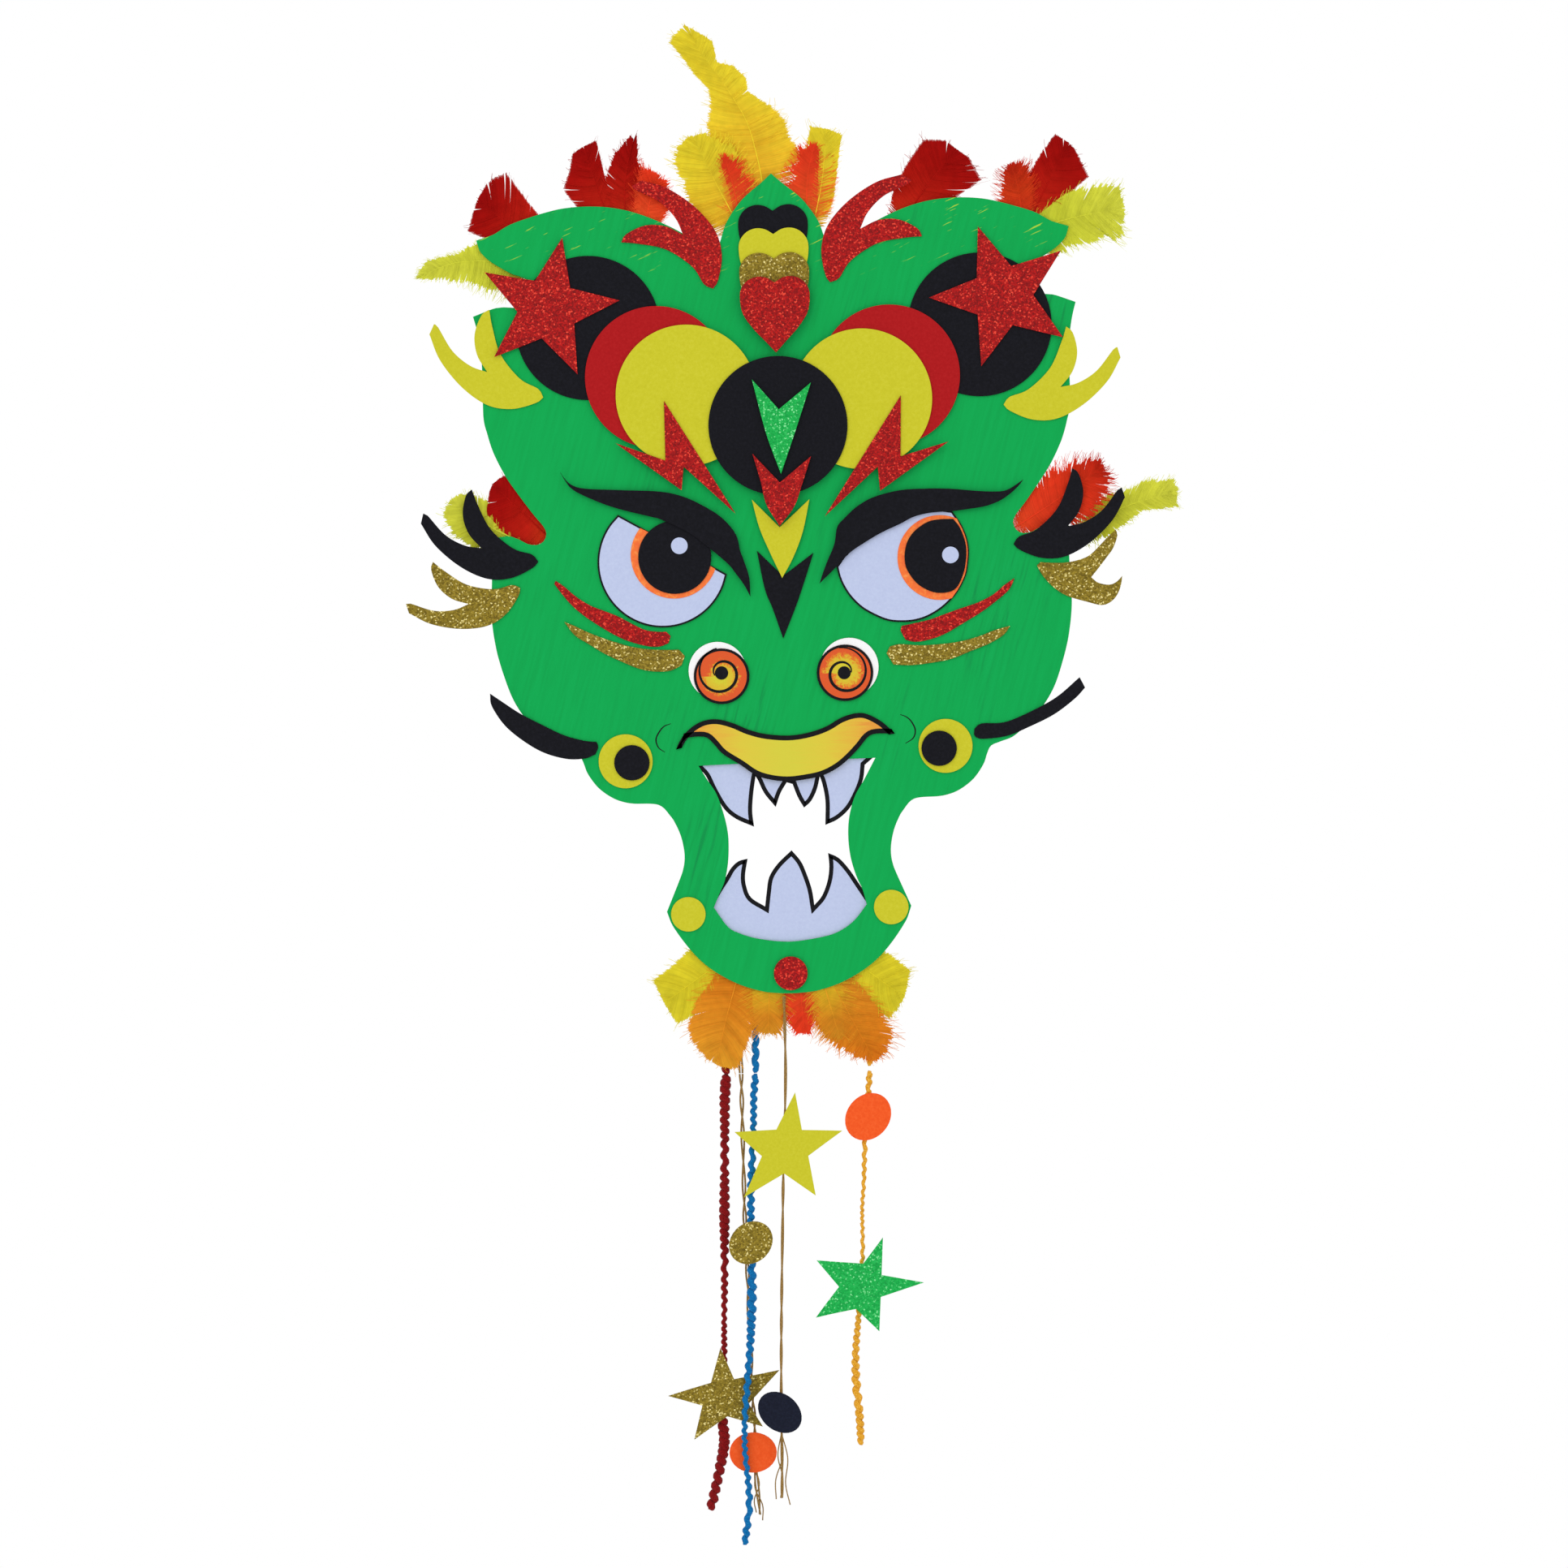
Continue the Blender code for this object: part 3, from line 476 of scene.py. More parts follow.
def poster_paint(name):
    made, tree, shader, place = start_material(name, Roughness=0.62, Specular_IOR_Level=0.12)
    across, along = STROKE_WIDTH_MM * MM, STROKE_LENGTH_MM * MM
    turned = add(
        tree, "Mapping", {"Vector": place},
        {"Rotation": (0.0, STROKE_TURN, 0.0), "Scale": (across, along, along)}, vector_type="TEXTURE",
    )
    strokes = add(
        tree, "TexNoise", {"Vector": (turned, "Vector")},
        {"Scale": 1.0, "Detail": 4.0, "Roughness": 0.55, "Distortion": 0.4},
    )
    patches = add(tree, "TexNoise", {"Vector": place}, {"Scale": 1 / (DRY_PATCH_MM * MM), "Detail": 2.0})
    wet = add(
        tree, "ValToRGB", {"Fac": (strokes, "Fac")},
        stops=[(0.30, "#01a04a"), (0.52, "#01a54d"), (0.80, "#04a951")],
    )
    dry = add(
        tree, "ValToRGB", {"Fac": (strokes, "Fac")},
        stops=[(0.34, "#048f47"), (0.46, "#02a24c"), (0.75, "#06aa54")],
    )
    where = add(tree, "MapRange", {"Value": (patches, "Fac")}, {"From Min": 0.54, "From Max": 0.68})
    coat = add(
        tree, "Mix", {"Factor": (where, "Result"), MIX_A: (wet, "Color"), MIX_B: (dry, "Color")},
        data_type="RGBA",
    )
    top = add(
        tree, "Mix", {"Factor": (scratches(tree, place), "Value"), MIX_A: (coat, MIXED)},
        {MIX_B: linear("#a9cf3a")}, data_type="RGBA",
    )
    surface(tree, shader, (top, MIXED), (strokes, "Fac"), PAINT_DEPTH_MM)
    return made


def scratches(tree, place):
    """Thin dry strokes, only high on the card, from the crest out to the ears."""
    width, length = SCRATCH_WIDTH_MM * MM, SCRATCH_LENGTH_MM * MM
    turned = add(
        tree, "Mapping", {"Vector": place},
        {"Rotation": (0.0, SCRATCH_TURN, 0.0), "Scale": (length, length, width)}, vector_type="TEXTURE",
    )
    lines = add(
        tree, "TexNoise", {"Vector": (turned, "Vector")}, {"Scale": 1.0, "Detail": 3.0, "Distortion": 0.2},
    )
    sharp = add(tree, "MapRange", {"Value": (lines, "Fac")}, {"From Min": 0.66, "From Max": 0.70})
    parts = add(tree, "SeparateXYZ", {"Vector": place})
    high = add(
        tree, "MapRange", {"Value": (parts, "Z")}, {"From Min": SCRATCH_LOW_Z, "From Max": SCRATCH_FULL_Z},
    )
    return add(tree, "Math", {0: (sharp, "Result"), 1: (high, "Result")}, operation="MULTIPLY")


# %% Make each flat finish once
FINISH = {
    "green_painted_card": poster_paint("green_poster_paint"),
    "yellow_card": dyed_card("yellow_dyed_card", "#c0bc26", "#c8c42a", "#d0cc3c"),
    "red_card": dyed_card("red_dyed_card", "#a01115", "#ab1519", "#b52022"),
    "orange_card": dyed_card("orange_dyed_card", "#e64e1c", "#f25a22", "#f86c35"),
    "black_card": dyed_card("black_dyed_card", "#0c0c11", "#131319", "#1c1c24"),
    "navy_card": dyed_card("navy_dyed_card", "#10131f", "#171b2b", "#22283a"),
    "white_card": dyed_card("cool_white_card", "#b6c0e0", "#bcc6e5", "#c4ceea"),
    # Each glitter foam's last two colours are painted glints on its brightest flakes.
    "red_glitter_foam": glitter_foam("red_glitter_foam", "#7a080b", "#9c0c0f", "#c01512", "#f04a36"),
    "gold_glitter_foam": glitter_foam("gold_glitter_foam", "#66540f", "#84701d", "#9e872a", "#ecdc90"),
    "green_glitter_foam": glitter_foam("green_glitter_foam", "#0a9a42", "#0fad48", "#26bc58", "#86e89c"),
}
BARE_PAPER = dyed_card("bare_white_paper", "#eeeeef", "#f4f4f5", "#f9f9fa")
# This black finish is the marker ink of the print, and also the painted shade along the cheek cuts.
MARKER_INK_AND_CREASE_SHADE = dyed_card("black_marker_ink_and_painted_crease_shade", "#07070a", "#0d0d12", "#17171d", 0.55)
print(len(FINISH), "flat finishes made")

# %% [markdown]
# ## The lip
#
# The lip is card coloured with markers: yellow in its middle, running to orange at both ends, with faint
# strokes that follow its length. A marker's strokes are about 2 mm wide.

# %% Colour the lip
LIP_STROKE_MM = (22.22, 10.0, 1.923)
MARKER_DEPTH_MM = 0.03


def marker_lip():
    made, tree, shader, place = start_material("marker_on_card_lip", Roughness=0.6)
    parts = add(tree, "SeparateXYZ", {"Vector": place})
    sideways = add(tree, "Math", {0: (parts, "X")}, operation="ABSOLUTE")
    outwards = add(tree, "MapRange", {"Value": (sideways, "Value")}, {"From Max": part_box("upper_lip")[1].x})
    stretched = add(
        tree, "Mapping", {"Vector": place}, {"Scale": [1 / (size * MM) for size in LIP_STROKE_MM]},
    )
    strokes = add(
        tree, "TexNoise", {"Vector": (stretched, "Vector")},
        {"Scale": 1.0, "Detail": 3.0, "Distortion": 1.2},
    )
    spread = add(tree, "Math", {0: (strokes, "Fac")}, {1: 0.4}, operation="MULTIPLY")
    both = add(tree, "Math", {0: (outwards, "Result"), 1: (spread, "Value")}, operation="ADD")
    stops = [(0.25, "#d2c92c"), (0.6, "#d9c42b"), (0.9, "#e0ac2a"), (1.0, "#e09428")]
    colour = add(tree, "ValToRGB", {"Fac": (both, "Value")}, stops=stops)
    surface(tree, shader, (colour, "Color"), (strokes, "Fac"), MARKER_DEPTH_MM)
    return made


FINISH["lip_card"] = marker_lip()
print("lip coloured")

# %% [markdown]
# ## Cutting a flat piece
#
# The frame already holds each shape, with a few straight sides on every curve. The true cut edge is smooth.
# So the outline is read from the CAD solid, its gentle turns are rounded and its sharp corners kept, and a
# filled 2D curve with a tiny bevel gives the soft edge that scissors leave. The frame's solid then hides.

# %% Read the outline of a CAD piece
SHARP_TURN = math.radians(42)
EDGE_MM = 0.11


def outlines(name):
    """The cut edges of a flat CAD piece, widest first, as (x, z) in mm, with its front and back y."""
    mesh = frame["nodes"][name].data
    places = [tuple(round(c / MM, 3) for c in v.co) for v in mesh.vertices]
    front = min(p[1] for p in places)
    back = max(p[1] for p in places)
    seen = {}
    for polygon in mesh.polygons:
        corners = [places[i] for i in polygon.vertices]
        if max(p[1] for p in corners) > front + 0.01:
            continue
        for a, b in zip(corners, corners[1:] + corners[:1]):
            key = frozenset((a[::2], b[::2]))
            seen[key] = seen.get(key, 0) + 1
    beside = {}
    for pair in (key for key, count in seen.items() if count == 1 and len(key) == 2):
        a, b = pair
        beside.setdefault(a, []).append(b)
        beside.setdefault(b, []).append(a)
    loops = []
    while beside:
        here = min(beside)
        loop = [here]
        while True:
            onward = [p for p in beside[here] if p in beside and p not in loop]
            if not onward:
                break
            here = onward[0]
            loop.append(here)
        for point in loop:
            beside.pop(point)
        if len(loop) > 2:
            loops.append(loop)
    loops.sort(key=lambda loop: -abs(area(loop)))
    return loops, front, back


def area(loop):
    return sum(a[0] * b[1] - b[0] * a[1] for a, b in zip(loop, loop[1:] + loop[:1])) / 2


# %% Round the gentle turns
FAIR_STEP_MM = 1.6
MOST_STEPS = 8


def fair(loop):
    """The outline with its curves made smooth and its sharp corners kept."""
    loop = loop if area(loop) > 0 else loop[::-1]
    points = [Vector(p) for p in loop]
    count = len(points)
    sharp = []
    for i in range(count):
        into, out = points[i] - points[i - 1], points[(i + 1) % count] - points[i]
        sharp.append(abs(into.angle_signed(out, 0.0)) > SHARP_TURN)
    made = []
    for i in range(count):
        here, there = points[i], points[(i + 1) % count]
        steps = max(1, min(MOST_STEPS, round((there - here).length / FAIR_STEP_MM)))
        if sharp[i] and sharp[(i + 1) % count]:
            steps = 1
        before = here * 2 - there if sharp[i] else points[i - 1]
        after = there * 2 - here if sharp[(i + 1) % count] else points[(i + 2) % count]
        made += [tuple(on_curve(before, here, there, after, k / steps)) for k in range(steps)]
    return made


# %% Cut it from sheet
def sheet_of(name, loops, front, back, material):
    """A flat piece between these two y, cut along the loops. The widest is its edge, the rest are holes."""
    curve = bpy.data.curves.new(name, "CURVE")
    curve.dimensions = "2D"
    curve.fill_mode = "BOTH"
    curve.extrude = ((back - front) / 2 - EDGE_MM) * MM
    curve.bevel_depth = EDGE_MM * MM
    curve.bevel_resolution = 1
    curve.offset = -EDGE_MM * MM
    for loop in loops:
        spline = curve.splines.new("POLY")
        spline.points.add(len(loop) - 1)
        spline.use_cyclic_u = True
        for point, (x, z) in zip(spline.points, loop):
            point.co = (x * MM, z * MM, 0.0, 1.0)
    drawn = bpy.data.objects.new(name + "_curve", curve)
    bpy.context.scene.collection.objects.link(drawn)
    graph = bpy.context.evaluated_depsgraph_get()
    bm = bmesh.new()
    bm.from_mesh(drawn.evaluated_get(graph).to_mesh())
    bpy.data.objects.remove(drawn)
    bmesh.ops.remove_doubles(bm, verts=bm.verts, dist=2e-6)
    bmesh.ops.rotate(bm, verts=bm.verts, matrix=Matrix.Rotation(math.pi / 2, 3, "X"))
    bmesh.ops.translate(bm, verts=bm.verts, vec=(0, (front + back) / 2 * MM, 0))
    return finish_mesh(name, bm, material, smooth=False)


# %% [markdown]
# ## Curling a tip forward
#
# Card that sticks out past the sheet never stays flat. Its tip lifts a few millimetres. A flat mesh can't
# bend without cross lines, so the piece is first sliced across, then each slice is moved forward by the
# square of its distance from where the glue ends.

# %% Slice and lift
SLICE_MM = 3.0


def curl(piece, start, towards, lift_mm):
    """Bends the piece forward past start, in the direction towards, by lift_mm at its far end."""
    heading = Vector((towards[0], 0, towards[1])).normalized()
    origin = Vector((start[0] * MM, 0, start[1] * MM))
    bm = bmesh.new()
    bm.from_mesh(piece.data)
    reach = max((v.co - origin).dot(heading) for v in bm.verts)
    for i in range(int(reach / (SLICE_MM * MM))):
        at = origin + heading * (i * SLICE_MM * MM)
        geometry = bm.verts[:] + bm.edges[:] + bm.faces[:]
        bmesh.ops.bisect_plane(bm, geom=geometry, plane_co=at, plane_no=heading, dist=1e-7)
    for vert in bm.verts:
        past = (vert.co - origin).dot(heading)
        if past > 0:
            vert.co.y -= lift_mm * MM * (past / reach) ** 2
    bm.to_mesh(piece.data)
    bm.free()
    piece.data.update()


# %% [markdown]
# ## Ink lines
#
# The teeth, the lip and the eyes are edged with a black marker. Its line is a thin ribbon between the
# outline and the same outline moved in. A line drawn freely has an edge on each side.

# %% Move an outline inwards
# How far a sharp corner may reach, how far ink runs past the edge, and where its two faces lie.
LONGEST_CORNER = 2.2
INK_OUTSIDE_MM = 0.12
INK_RISE_MM = (0.05, 0.005)


def moved_in(loop, distance):
    """The outline moved inwards by this many mm, with long corners cut short."""
    loop = loop if area(loop) > 0 else loop[::-1]
    made = []
    count = len(loop)
    for i in range(count):
        here = Vector(loop[i])
        into = (here - Vector(loop[i - 1])).normalized()
        out = (Vector(loop[(i + 1) % count]) - here).normalized()
        left = Vector((-(into + out).y, (into + out).x))
        if left.length < 1e-6:
            left = Vector((-into.y, into.x))
        left.normalize()
        square = Vector((-into.y, into.x))
        stretch = min(LONGEST_CORNER, 1 / max(0.2, left.dot(square)))
        made.append(tuple(here + left * distance * stretch))
    return made


# %% Draw a line between two edges
def marked(name, sides, front, closed):
    """A black line between two edges of (x, z) points, on the face at y = front. It draws the marker ink, and
    the painted shade along the cheek cuts.
    """
    bm = bmesh.new()
    top, low = ((front - rise) * MM for rise in INK_RISE_MM)
    rows = []
    for a, b in zip(*sides):
        corners = (a, top), (b, top), (b, low), (a, low)
        rows.append([bm.verts.new((p[0] * MM, y, p[1] * MM)) for p, y in corners])
    for a, b in zip(rows, rows[1:] + rows[:closed]):
        for k in range(4):
            bm.faces.new((a[k - 1], a[k], b[k], b[k - 1]))
    if not closed:
        bm.faces.new(rows[0])
        bm.faces.new(rows[-1][::-1])
    belongs(finish_mesh(name, bm, MARKER_INK_AND_CREASE_SHADE, smooth=False), "root")


def ink_line(name, loop, width, front):
    """A marker line of this width along the inside of the outline."""
    sides = moved_in(loop, -INK_OUTSIDE_MM), moved_in(loop, width - INK_OUTSIDE_MM)
    marked(name, sides, front, closed=True)


def ribbon(name, line, width, front):
    """A black line along the points, widest in its middle. It draws marker ink, and the painted shade along
    the cheek cuts.
    """
    sides = [], []
    for i, point in enumerate(line):
        ahead = Vector(line[min(i + 1, len(line) - 1)]) - Vector(line[max(i - 1, 0)])
        ahead.normalize()
        half = width / 2 * (0.35 + 0.65 * math.sin(math.pi * (i + 0.5) / len(line)))
        out = Vector((-ahead.y, ahead.x)) * half
        sides[0].append(Vector(point) + out)
        sides[1].append(Vector(point) - out)
    marked(name, sides, front, closed=False)


# %% [markdown]
# ## Every cut piece
#
# One loop cuts all the flat pieces and gives each the finish that its slot names. The soft ones, feathers
# and strands, are made further on.

# %% Cut all the flat pieces
SLOT_OF = {s["node"]: s["material_slot"] for s in frame["record"]["subparts"]}
BODY_OF = {n: body for body, nodes in frame["record"]["behaviour"]["bodies"].items() for n in nodes}
SOFT = [n for n in SLOT_OF if "feathers" in n or "yarn" in n or "threads" in n]
faired = {}
pieces = {}
for node in sorted(SLOT_OF):
    if node not in SOFT:
        loops, front, back = outlines(node)
        faired[node] = [fair(loop) for loop in loops]
        pieces[node] = sheet_of(node + "_cut", faired[node], front, back, FINISH[SLOT_OF[node]])
print(len(pieces), "flat pieces cut")

# %% Lift the horns, whiskers and tags
CURLS = {
    "crest_horn_left": ((-44, 205), (0.2, 1), 3.0),
    "crest_horn_right": ((43, 206), (-0.2, 1), 3.0),
    "yellow_horn_left": ((-142, 128), (-1, 0.5), 6.0),
    "yellow_horn_right": ((140, 118), (1, 0.5), 6.0),
    "black_horn_left": ((-141, 46), (-1, 0.6), 6.0),
    "black_horn_right": ((140, 48), (1, 0.6), 6.0),
    "gold_horn_left": ((-141, 20), (-1, 0.1), 6.0),
    "gold_horn_right": ((141, 26), (1, 0.1), 7.0),
    "whisker_left": ((-118, -34), (-1, 0.6), 5.0),
    "whisker_right": ((118, -34), (1, 0.6), 5.0),
    "ear_star_left": ((-120, 172), (-1, 0.1), 2.5),
    "ear_star_right": ((121, 172), (1, 0.1), 2.5),
    "star_tag_green": ((20, -318), (-1, -0.7), 4.0),
    "star_tag_gold": ((-46, -365), (-1, 0.0), 2.5),
    "star_tag_yellow": ((6, -246), (1, 0.3), 2.0),
}
for node, (start, towards, lift_mm) in CURLS.items():
    curl(pieces[node], start, towards, lift_mm)
for node, piece in pieces.items():
    belongs(piece, BODY_OF[node], node)
print("curled", len(CURLS), "pieces")

# %% [markdown]
# ## Small glued pieces
#
# The frame leaves some small paper shapes to this script: the long chevron on the nose, the discs on the
# jowls and jaw, the dot on the chin, the nostrils and the rings in the eyes.

# %% Cut the small pieces
PAPER_MM = 0.45
FOAM_MM = 1.0
LAYER_MM = 0.8
JOWL_DISC_RADIUS, JOWL_DOT_RADIUS = 13.3, 8.7
JAW_DOT_RADIUS, CHIN_DOT_RADIUS = 8.5, 8.3


def disc(x, z, radius, points=48):
    turns = [math.tau * i / points for i in range(points)]
    return [(x + radius * math.cos(turn), z + radius * math.sin(turn)) for turn in turns]


def small(name, loop, back, material, thick=PAPER_MM):
    """A small piece of this thickness, cut along the loop, with its back at this y."""
    belongs(sheet_of(name, [loop], back - thick, back, material), "root")


LEVEL_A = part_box("upper_lip")[1].y / MM
LEVEL_B = LEVEL_A - LAYER_MM
CHEVRON_BLACK = [
    (-11.5, 48.8), (1, 36), (16.3, 47.1), (11.3, 32.5), (6.9, 20.6), (0.4, 5.2), (-4.4, 20), (-8.1, 30),
]
JOWL_DISCS = {"left": (-78.7, -53.3, -75.6, -54.1), "right": (79, -49.6, 75.8, -50.7)}
JAW_DOTS = {"left": (-49.7, -129.4), "right": (50.3, -128.3)}
black, yellow = FINISH["black_card"], FINISH["yellow_card"]
small("chevron_black_cut", fair(CHEVRON_BLACK[::-1]), LEVEL_A, black)
for side, (x, z, dot_x, dot_z) in JOWL_DISCS.items():
    small(f"jowl_disc_{side}_cut", disc(x, z, JOWL_DISC_RADIUS), LEVEL_A, yellow)
    small(f"jowl_dot_{side}_cut", disc(dot_x, dot_z, JOWL_DOT_RADIUS), LEVEL_B, black)
for side, (x, z) in JAW_DOTS.items():
    small(f"jaw_dot_{side}_cut", disc(x, z, JAW_DOT_RADIUS), LEVEL_A, yellow)
chin_dot = disc(0, -159.7, CHIN_DOT_RADIUS)
small("chin_dot_cut", chin_dot, LEVEL_A, FINISH["red_glitter_foam"], FOAM_MM)
print("small pieces cut on the levels", round(LEVEL_A, 2), round(LEVEL_B, 2))

# %% [markdown]
# ## Eyes
#
# Each eye is a white disc under a black lid. A marker ring of orange is drawn round the pupil, and a small
# white dot makes the highlight. The right pupil runs up to the eyeball's edge, so its ring is cut by it.

# %% Draw the iris ring's marker colour
# A marker leaves streaks this far apart, and hardly any relief.
MARKER_STREAK_MM = 2.381
STREAK_DEPTH_MM = 0.02

MARKER_ORANGE = mottled(
    "orange_marker_on_card", MARKER_STREAK_MM, {"Detail": 3.0, "Distortion": 0.8},
    [(0.3, "#ee5f1c"), (0.55, "#f5741f"), (0.8, "#f9a24e")], STREAK_DEPTH_MM, Roughness=0.6,
)

# %% Keep a ring inside the eyeball
def clipped(ring, centre, border, margin):
    """The ring, with each point that passes the border pulled back towards the centre."""
    made = []
    middle = Vector(centre)
    sides = list(zip(border, border[1:] + border[:1]))
    for point in ring:
        ray = Vector(point) - middle
        nearest = 1.0
        for a, b in sides:
            edge = Vector(b) - Vector(a)
            cross = ray.x * edge.y - ray.y * edge.x
            if abs(cross) < 1e-9:
                continue
            gap = Vector(a) - middle
            along = (gap.x * edge.y - gap.y * edge.x) / cross
            beside = (gap.x * ray.y - gap.y * ray.x) / cross
            if 0 < along < nearest and 0 <= beside <= 1:
                nearest = along - margin / ray.length
        made.append(tuple(middle + ray * nearest))
    return made


# %% Set the rings and highlights
# Sizes in mm. The ring stops short of the eyeball's edge, and each layer has a little glue under it.
GLINT_RADIUS = 4.1
EYE_INK_MM = 0.9
RING_GAP_MM = 0.5
RING_MM = 0.24
GLINT_MM = 0.3
GLUE_MM = 0.02
EYES = {
    "left": ((-52.3, 47.6), 21.4, (-49.6, 52.1)),
    "right": ((78.5, 43.2), 20.9, (83.7, 44.3)),
}
eye_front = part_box("eyeball_left")[0].y / MM
pupil_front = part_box("pupil_left")[0].y / MM
for side, (centre, radius, glint) in EYES.items():
    border = faired[f"eyeball_{side}"][0]
    ring = clipped(disc(*centre, radius, points=72), centre, border, RING_GAP_MM)
    small(f"iris_ring_{side}", ring, eye_front - GLUE_MM, MARKER_ORANGE, RING_MM)
    dot, white = disc(*glint, GLINT_RADIUS), FINISH["white_card"]
    small(f"eye_glint_{side}", dot, pupil_front - GLUE_MM, white, GLINT_MM)
    ink_line(f"eye_edge_{side}", border, EYE_INK_MM, eye_front)
print("eyes drawn at y", round(eye_front, 2))

# %% Ink the teeth and the lip
for node, width in (("upper_teeth", 2.1), ("lower_teeth", 2.1), ("upper_lip", 2.4)):
    ink_line(f"{node}_ink", faired[node][0], width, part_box(node)[0].y / MM)
print("teeth and lip inked")

# %% [markdown]
# ## Nostrils
#
# A nostril is a round of white paper with a coloured swirl stuck on, a little off centre, so that a white
# crescent shows. The swirl is orange and yellow-green marker, and a black line winds in to a dot.

# %% Colour a swirl
# How far the colours wind round, and how much the strokes disturb them.
WOUND = 0.3
STREAKED = 0.7


def marker_swirl(name, x, z, radius, hand):
    """Yellow-green in the middle and orange outside, wound a little, with marker strokes."""
    made, tree, shader, place = start_material(name, Roughness=0.6, Specular_IOR_Level=0.2)
    centred = add(tree, "Mapping", {"Vector": place}, {"Location": (-x * MM, 0.0, -z * MM)})
    parts = add(tree, "SeparateXYZ", {"Vector": (centred, "Vector")})
    angle = add(tree, "Math", {0: (parts, "Z"), 1: (parts, "X")}, operation="ARCTAN2")
    wound = add(tree, "Math", {0: (angle, "Value")}, {1: WOUND * hand / math.tau}, operation="MULTIPLY")
    flat = add(tree, "CombineXYZ", {"X": (parts, "X"), "Z": (parts, "Z")})
    reach = add(tree, "VectorMath", {0: (flat, "Vector")}, operation="LENGTH")
    share = add(
        tree, "Math", {0: (reach, "Value"), 2: (wound, "Value")}, {1: 1 / (radius * MM)},
        operation="MULTIPLY_ADD",
    )
    strokes = add(
        tree, "TexNoise", {"Vector": place},
        {"Scale": 1 / (MARKER_STREAK_MM * MM), "Detail": 3.0, "Distortion": 2.0},
    )
    rough = add(
        tree, "Math", {0: (strokes, "Fac"), 2: (share, "Value")}, {1: STREAKED}, operation="MULTIPLY_ADD",
    )
    stops = [(0.45, "#cfc92f"), (0.8, "#d8b42b"), (0.95, "#dd6f22"), (1.0, "#da5624")]
    colour = add(tree, "ValToRGB", {"Fac": (rough, "Value")}, stops=stops)
    surface(tree, shader, (colour, "Color"), (strokes, "Fac"), STREAK_DEPTH_MM)
    return made


# %% Wind the black line and set the dot
SPIRAL_POINTS = 40


def spiral(x, z, outer, inner, turns, start, hand):
    line = []
    count = turns * SPIRAL_POINTS
    for i in range(int(count)):
        share = i / count
        angle = start + hand * math.tau * turns * share
        reach = outer + (inner - outer) * share
        line.append((x + reach * math.cos(angle), z + reach * math.sin(angle)))
    return line


NOSTRILS = {
    "left": ((-32.4, -9.8), 14.2, (-30.4, -12.6), (-30.4, -11.0), 3.3, 1),
    "right": ((32.6, -9.6), 14.4, (30.4, -12.4), (30.0, -12.4), 3.2, -1),
}
SWIRL_INSET = 0.6
SWIRL_MM = 0.3
SWIRL_EDGE_MM, SPIRAL_MM = 1.3, 1.5
SPIRAL_TURNS, SPIRAL_START = 1.3, math.radians(100)
DOT_MM = 0.12
for side, (hole, radius, swirl, dot, dot_radius, hand) in NOSTRILS.items():
    small(f"nostril_paper_{side}", disc(*hole, radius), LEVEL_A, BARE_PAPER)
    front, reach = LEVEL_A - PAPER_MM - GLUE_MM, radius - SWIRL_INSET
    colour = marker_swirl(f"marker_swirl_{side}", *swirl, reach, hand)
    small(f"nostril_swirl_{side}", disc(*swirl, reach), front, colour, SWIRL_MM)
    front -= SWIRL_MM
    ink_line(f"nostril_swirl_edge_{side}", disc(*swirl, reach), SWIRL_EDGE_MM, front)
    line = spiral(*dot, reach - 1.2, dot_radius, SPIRAL_TURNS, SPIRAL_START, hand)
    ribbon(f"nostril_spiral_{side}", line, SPIRAL_MM, front)
    small(f"nostril_dot_{side}", disc(*dot, dot_radius), front - GLUE_MM, black, DOT_MM)
print("nostrils wound")

# %% [markdown]
# ## Cheek creases
#
# Two short curved cuts frame the mouth. The card lifts a hair on one side, and the cut shows as a dark line
# of shade, so that shade is painted on as a black line.

# %% Paint the shade in the cuts
CREASE_SHADE_MM = 0.7
CREASE_STEP_MM = 0.8
CREASES = {
    "left": [(-56, -35.3), (-59.4, -36.6), (-61.9, -39.4), (-63.5, -43), (-62.4, -46.9), (-59.3, -49.3)],
    "right": [(57.1, -33.6), (60, -34.8), (62.5, -37.2), (64.3, -41.4), (63.2, -45.3), (59.3, -47.9)],
}
card_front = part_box("face_card")[0].y / MM
# The dark line along each cut is painted shade, drawn with the black finish.
for side, points in CREASES.items():
    line = [(p.x, p.z) for p in spline_through([(x, 0, z) for x, z in points], CREASE_STEP_MM)]
    ribbon(f"cheek_cut_painted_shade_{side}", line, CREASE_SHADE_MM, card_front)
print("cheeks creased")

# %% [markdown]
# ## Feathers
#
# A dyed craft feather has a pale shaft with hundreds of barbs on each side. Most barbs lie side by side and
# look like one sheet, but the sheet splits, and near the root it turns to loose down. One flat card with a
# feather picture would never catch light like that, so every barb here is its own thin strip, 0.5 mm apart.

# %% Dye the barbs
FEATHER_GRAIN_MM = 3.846
GRAIN_DEPTH_MM = 0.05


def dyed_feather(name):
    made, tree, shader, place = start_material(name, Roughness=0.8, Specular_IOR_Level=0.0)
    dye = add(tree, "Attribute", attribute_name="dye")
    grain = add(tree, "TexNoise", {"Vector": place}, {"Scale": 1 / (FEATHER_GRAIN_MM * MM), "Detail": 3.0})
    level = add(tree, "MapRange", {"Value": (grain, "Fac")}, {"To Min": 0.82, "To Max": 1.14})
    colour = add(tree, "VectorMath", {0: (dye, "Color"), "Scale": (level, "Result")}, operation="SCALE")
    surface(tree, shader, (colour, "Vector"), (grain, "Fac"), GRAIN_DEPTH_MM)
    return made


DYED_FEATHER = dyed_feather("dyed_feather_barbs")
print("barbs dyed")

